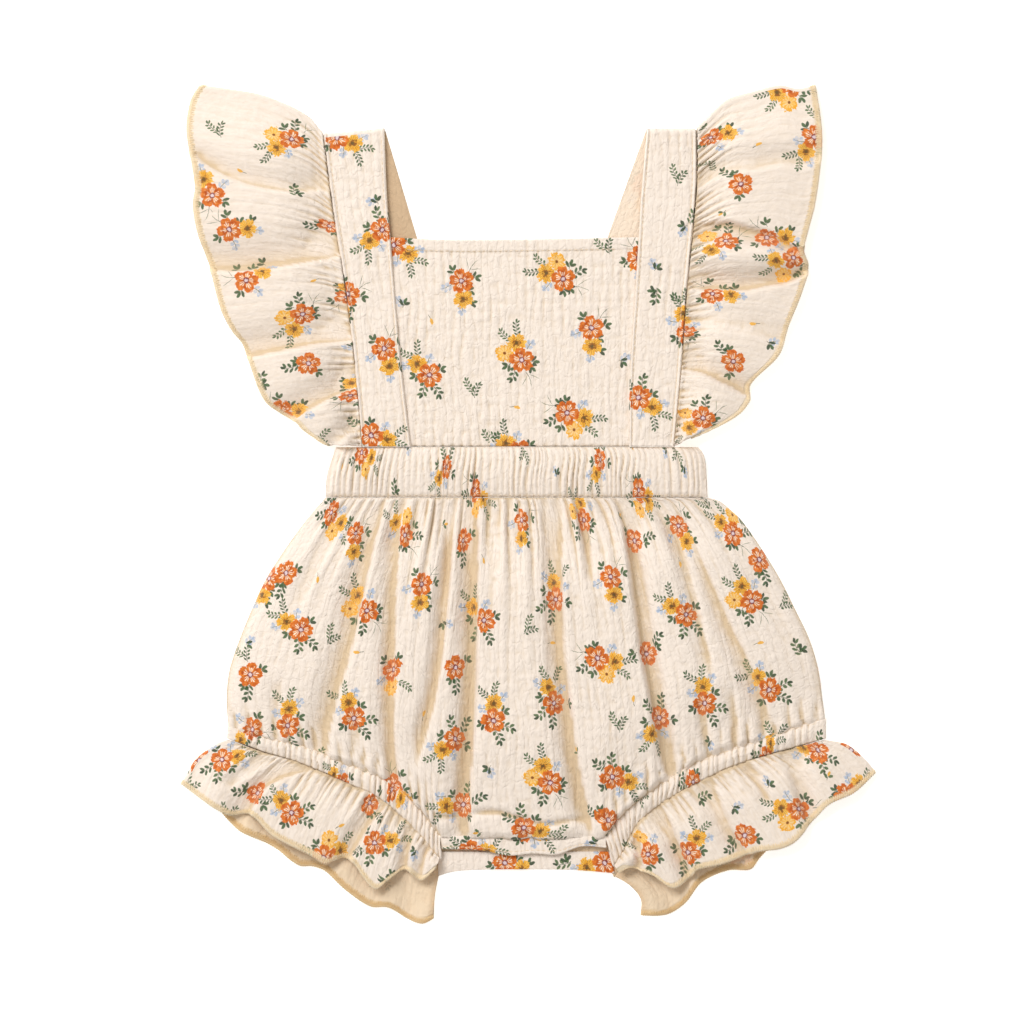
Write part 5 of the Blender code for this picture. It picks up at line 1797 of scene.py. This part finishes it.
def bake_places(mesh, pc):
    """A place of its own in the unit square for each corner of each face."""
    rows, columns = pc.outer.shape[0] - 1, pc.outer.shape[1] - 1
    row, column, corner, kind = corners(mesh, columns)
    vertex = numbers(mesh.loops, "vertex_index")
    inner = numbers(mesh.attributes["side"].data, "value")[vertex] == 0
    r, c = row + corner // 2, column + corner % 2
    places = np.zeros((len(row), 2))
    for band_kind, first, last, low, high in bake_bands(pc):
        own = (np.minimum(kind, 1) == band_kind) & (column >= first) & (column < last)
        places[own, 0] = CUT + (1 - 2 * CUT) * (c[own] - first) / (last - first)
        places[own, 1] = low + CUT + (high - low - 2 * CUT) * r[own] / rows
    edge = (kind == 2) & inner  # the cut edge lies as a narrow strip outside the island
    flat = r.reshape(-1, 4)
    along_row = np.repeat(flat.min(1) == flat.max(1), 4)
    away = np.where(along_row, np.where(r == 0, -1, 1), np.where(c == 0, -1, 1)) * CUT * 0.3
    places[:, 1] += np.where(edge & along_row, away, 0)
    places[:, 0] += np.where(edge & ~along_row, away, 0)
    return places


def hollow(outer, reach, full):
    """How deep each point lies under the cloth around it, from 0 to 1; reach is in cells each way."""
    z = outer[..., 2]
    mean = z.copy()
    for axis in (1, 1, 0, 0):
        shifted = [np.roll(mean, k, axis) for k in range(-reach, reach + 1)]
        mean = sum(shifted) / len(shifted)
    return np.clip((mean - z) / full, 0, 1)


def dress(name, pc, sprays, seed):
    """The shell of one piece of the romper with all its maps and both its cloths."""
    cloth = shell(f"{name}_cloth", pc.outer, pc.inner)
    mesh = cloth.data
    row, column, corner, kind = corners(mesh, pc.outer.shape[1] - 1)
    add_map(mesh, BAKE_MAP, bake_places(mesh, pc))
    r, c = row + corner // 2, column + corner % 2
    # the crinkle's columns run along a strap, and across the other pieces
    grain = [pc.along.mean(0)[c], pc.across.mean(1)[r]]
    add_map(mesh, CLOTH_MAP, np.stack(grain[::-1] if name.startswith("strap") else grain, axis=1) / 100)
    for layer, places in lay_print(name, pc, sprays, seed).items():
        add_map(mesh, layer, places[row, column, corner])
    spot = numbers(mesh.attributes["spot"].data, "value")
    frill = "ruffle" in name or "flutter" in name
    inside = name in ("shorts_back", "waistband_back")  # little light comes there
    least_painted_shade = 0.7 if inside else 0.1 if frill else 0.0
    # painted shade: how deep each point lies under the cloth around it, with a floor of it on the back
    # pieces, where little light comes, and a small one on the frills, darkens the cloth towards its warmer
    # cream
    deep = np.maximum(np.maximum(hollow(pc.outer, 6, 4.2), hollow(pc.outer, 2, 1.0)), least_painted_shade)
    bound = ease((3.1 - (pc.across[-1] - pc.across)) / 0.5) * frill  # the share of overlock on the cloth
    # a frill's crinkle is smoother towards its free edge, and less so at the legs
    free = ease(pc.across / np.maximum(pc.across[-1], 1e-6) / 0.7) * frill
    free = free * (0.5 if name.startswith("leg") else 1.0)
    for layer, values in (("valley", deep), ("hem", bound), ("slack", free)):
        values = np.broadcast_to(values, pc.across.shape).ravel()[spot].astype(np.float32)
        mesh.attributes.new(layer, "FLOAT", "POINT").data.foreach_set("value", values)
    mesh.materials.append(GAUZE)
    # the crotch's strip is doubled, so it is printed on both faces
    other = GAUZE if name == "crotch_back" else STRAP_INSIDE_PAINTED_LIGHT.get(name.removeprefix("strap_"), GAUZE_INSIDE)
    mesh.materials.append(other)
    mesh.polygons.foreach_set("material_index", np.where(kind[::4] == 0, 1, 0).astype(np.int32))
    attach(cloth, "root")
    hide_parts(name)
    return cloth


LAID = {"bib", "strap_left", "strap_right", "crotch_front", "crotch_back"}
for seed, (name, pc) in enumerate(PIECES.items()):
    cloth = dress(name, pc, SPRAYS.get(name, []), 100 + 10 * seed)
    held = "laid" if name in LAID else "gathered"
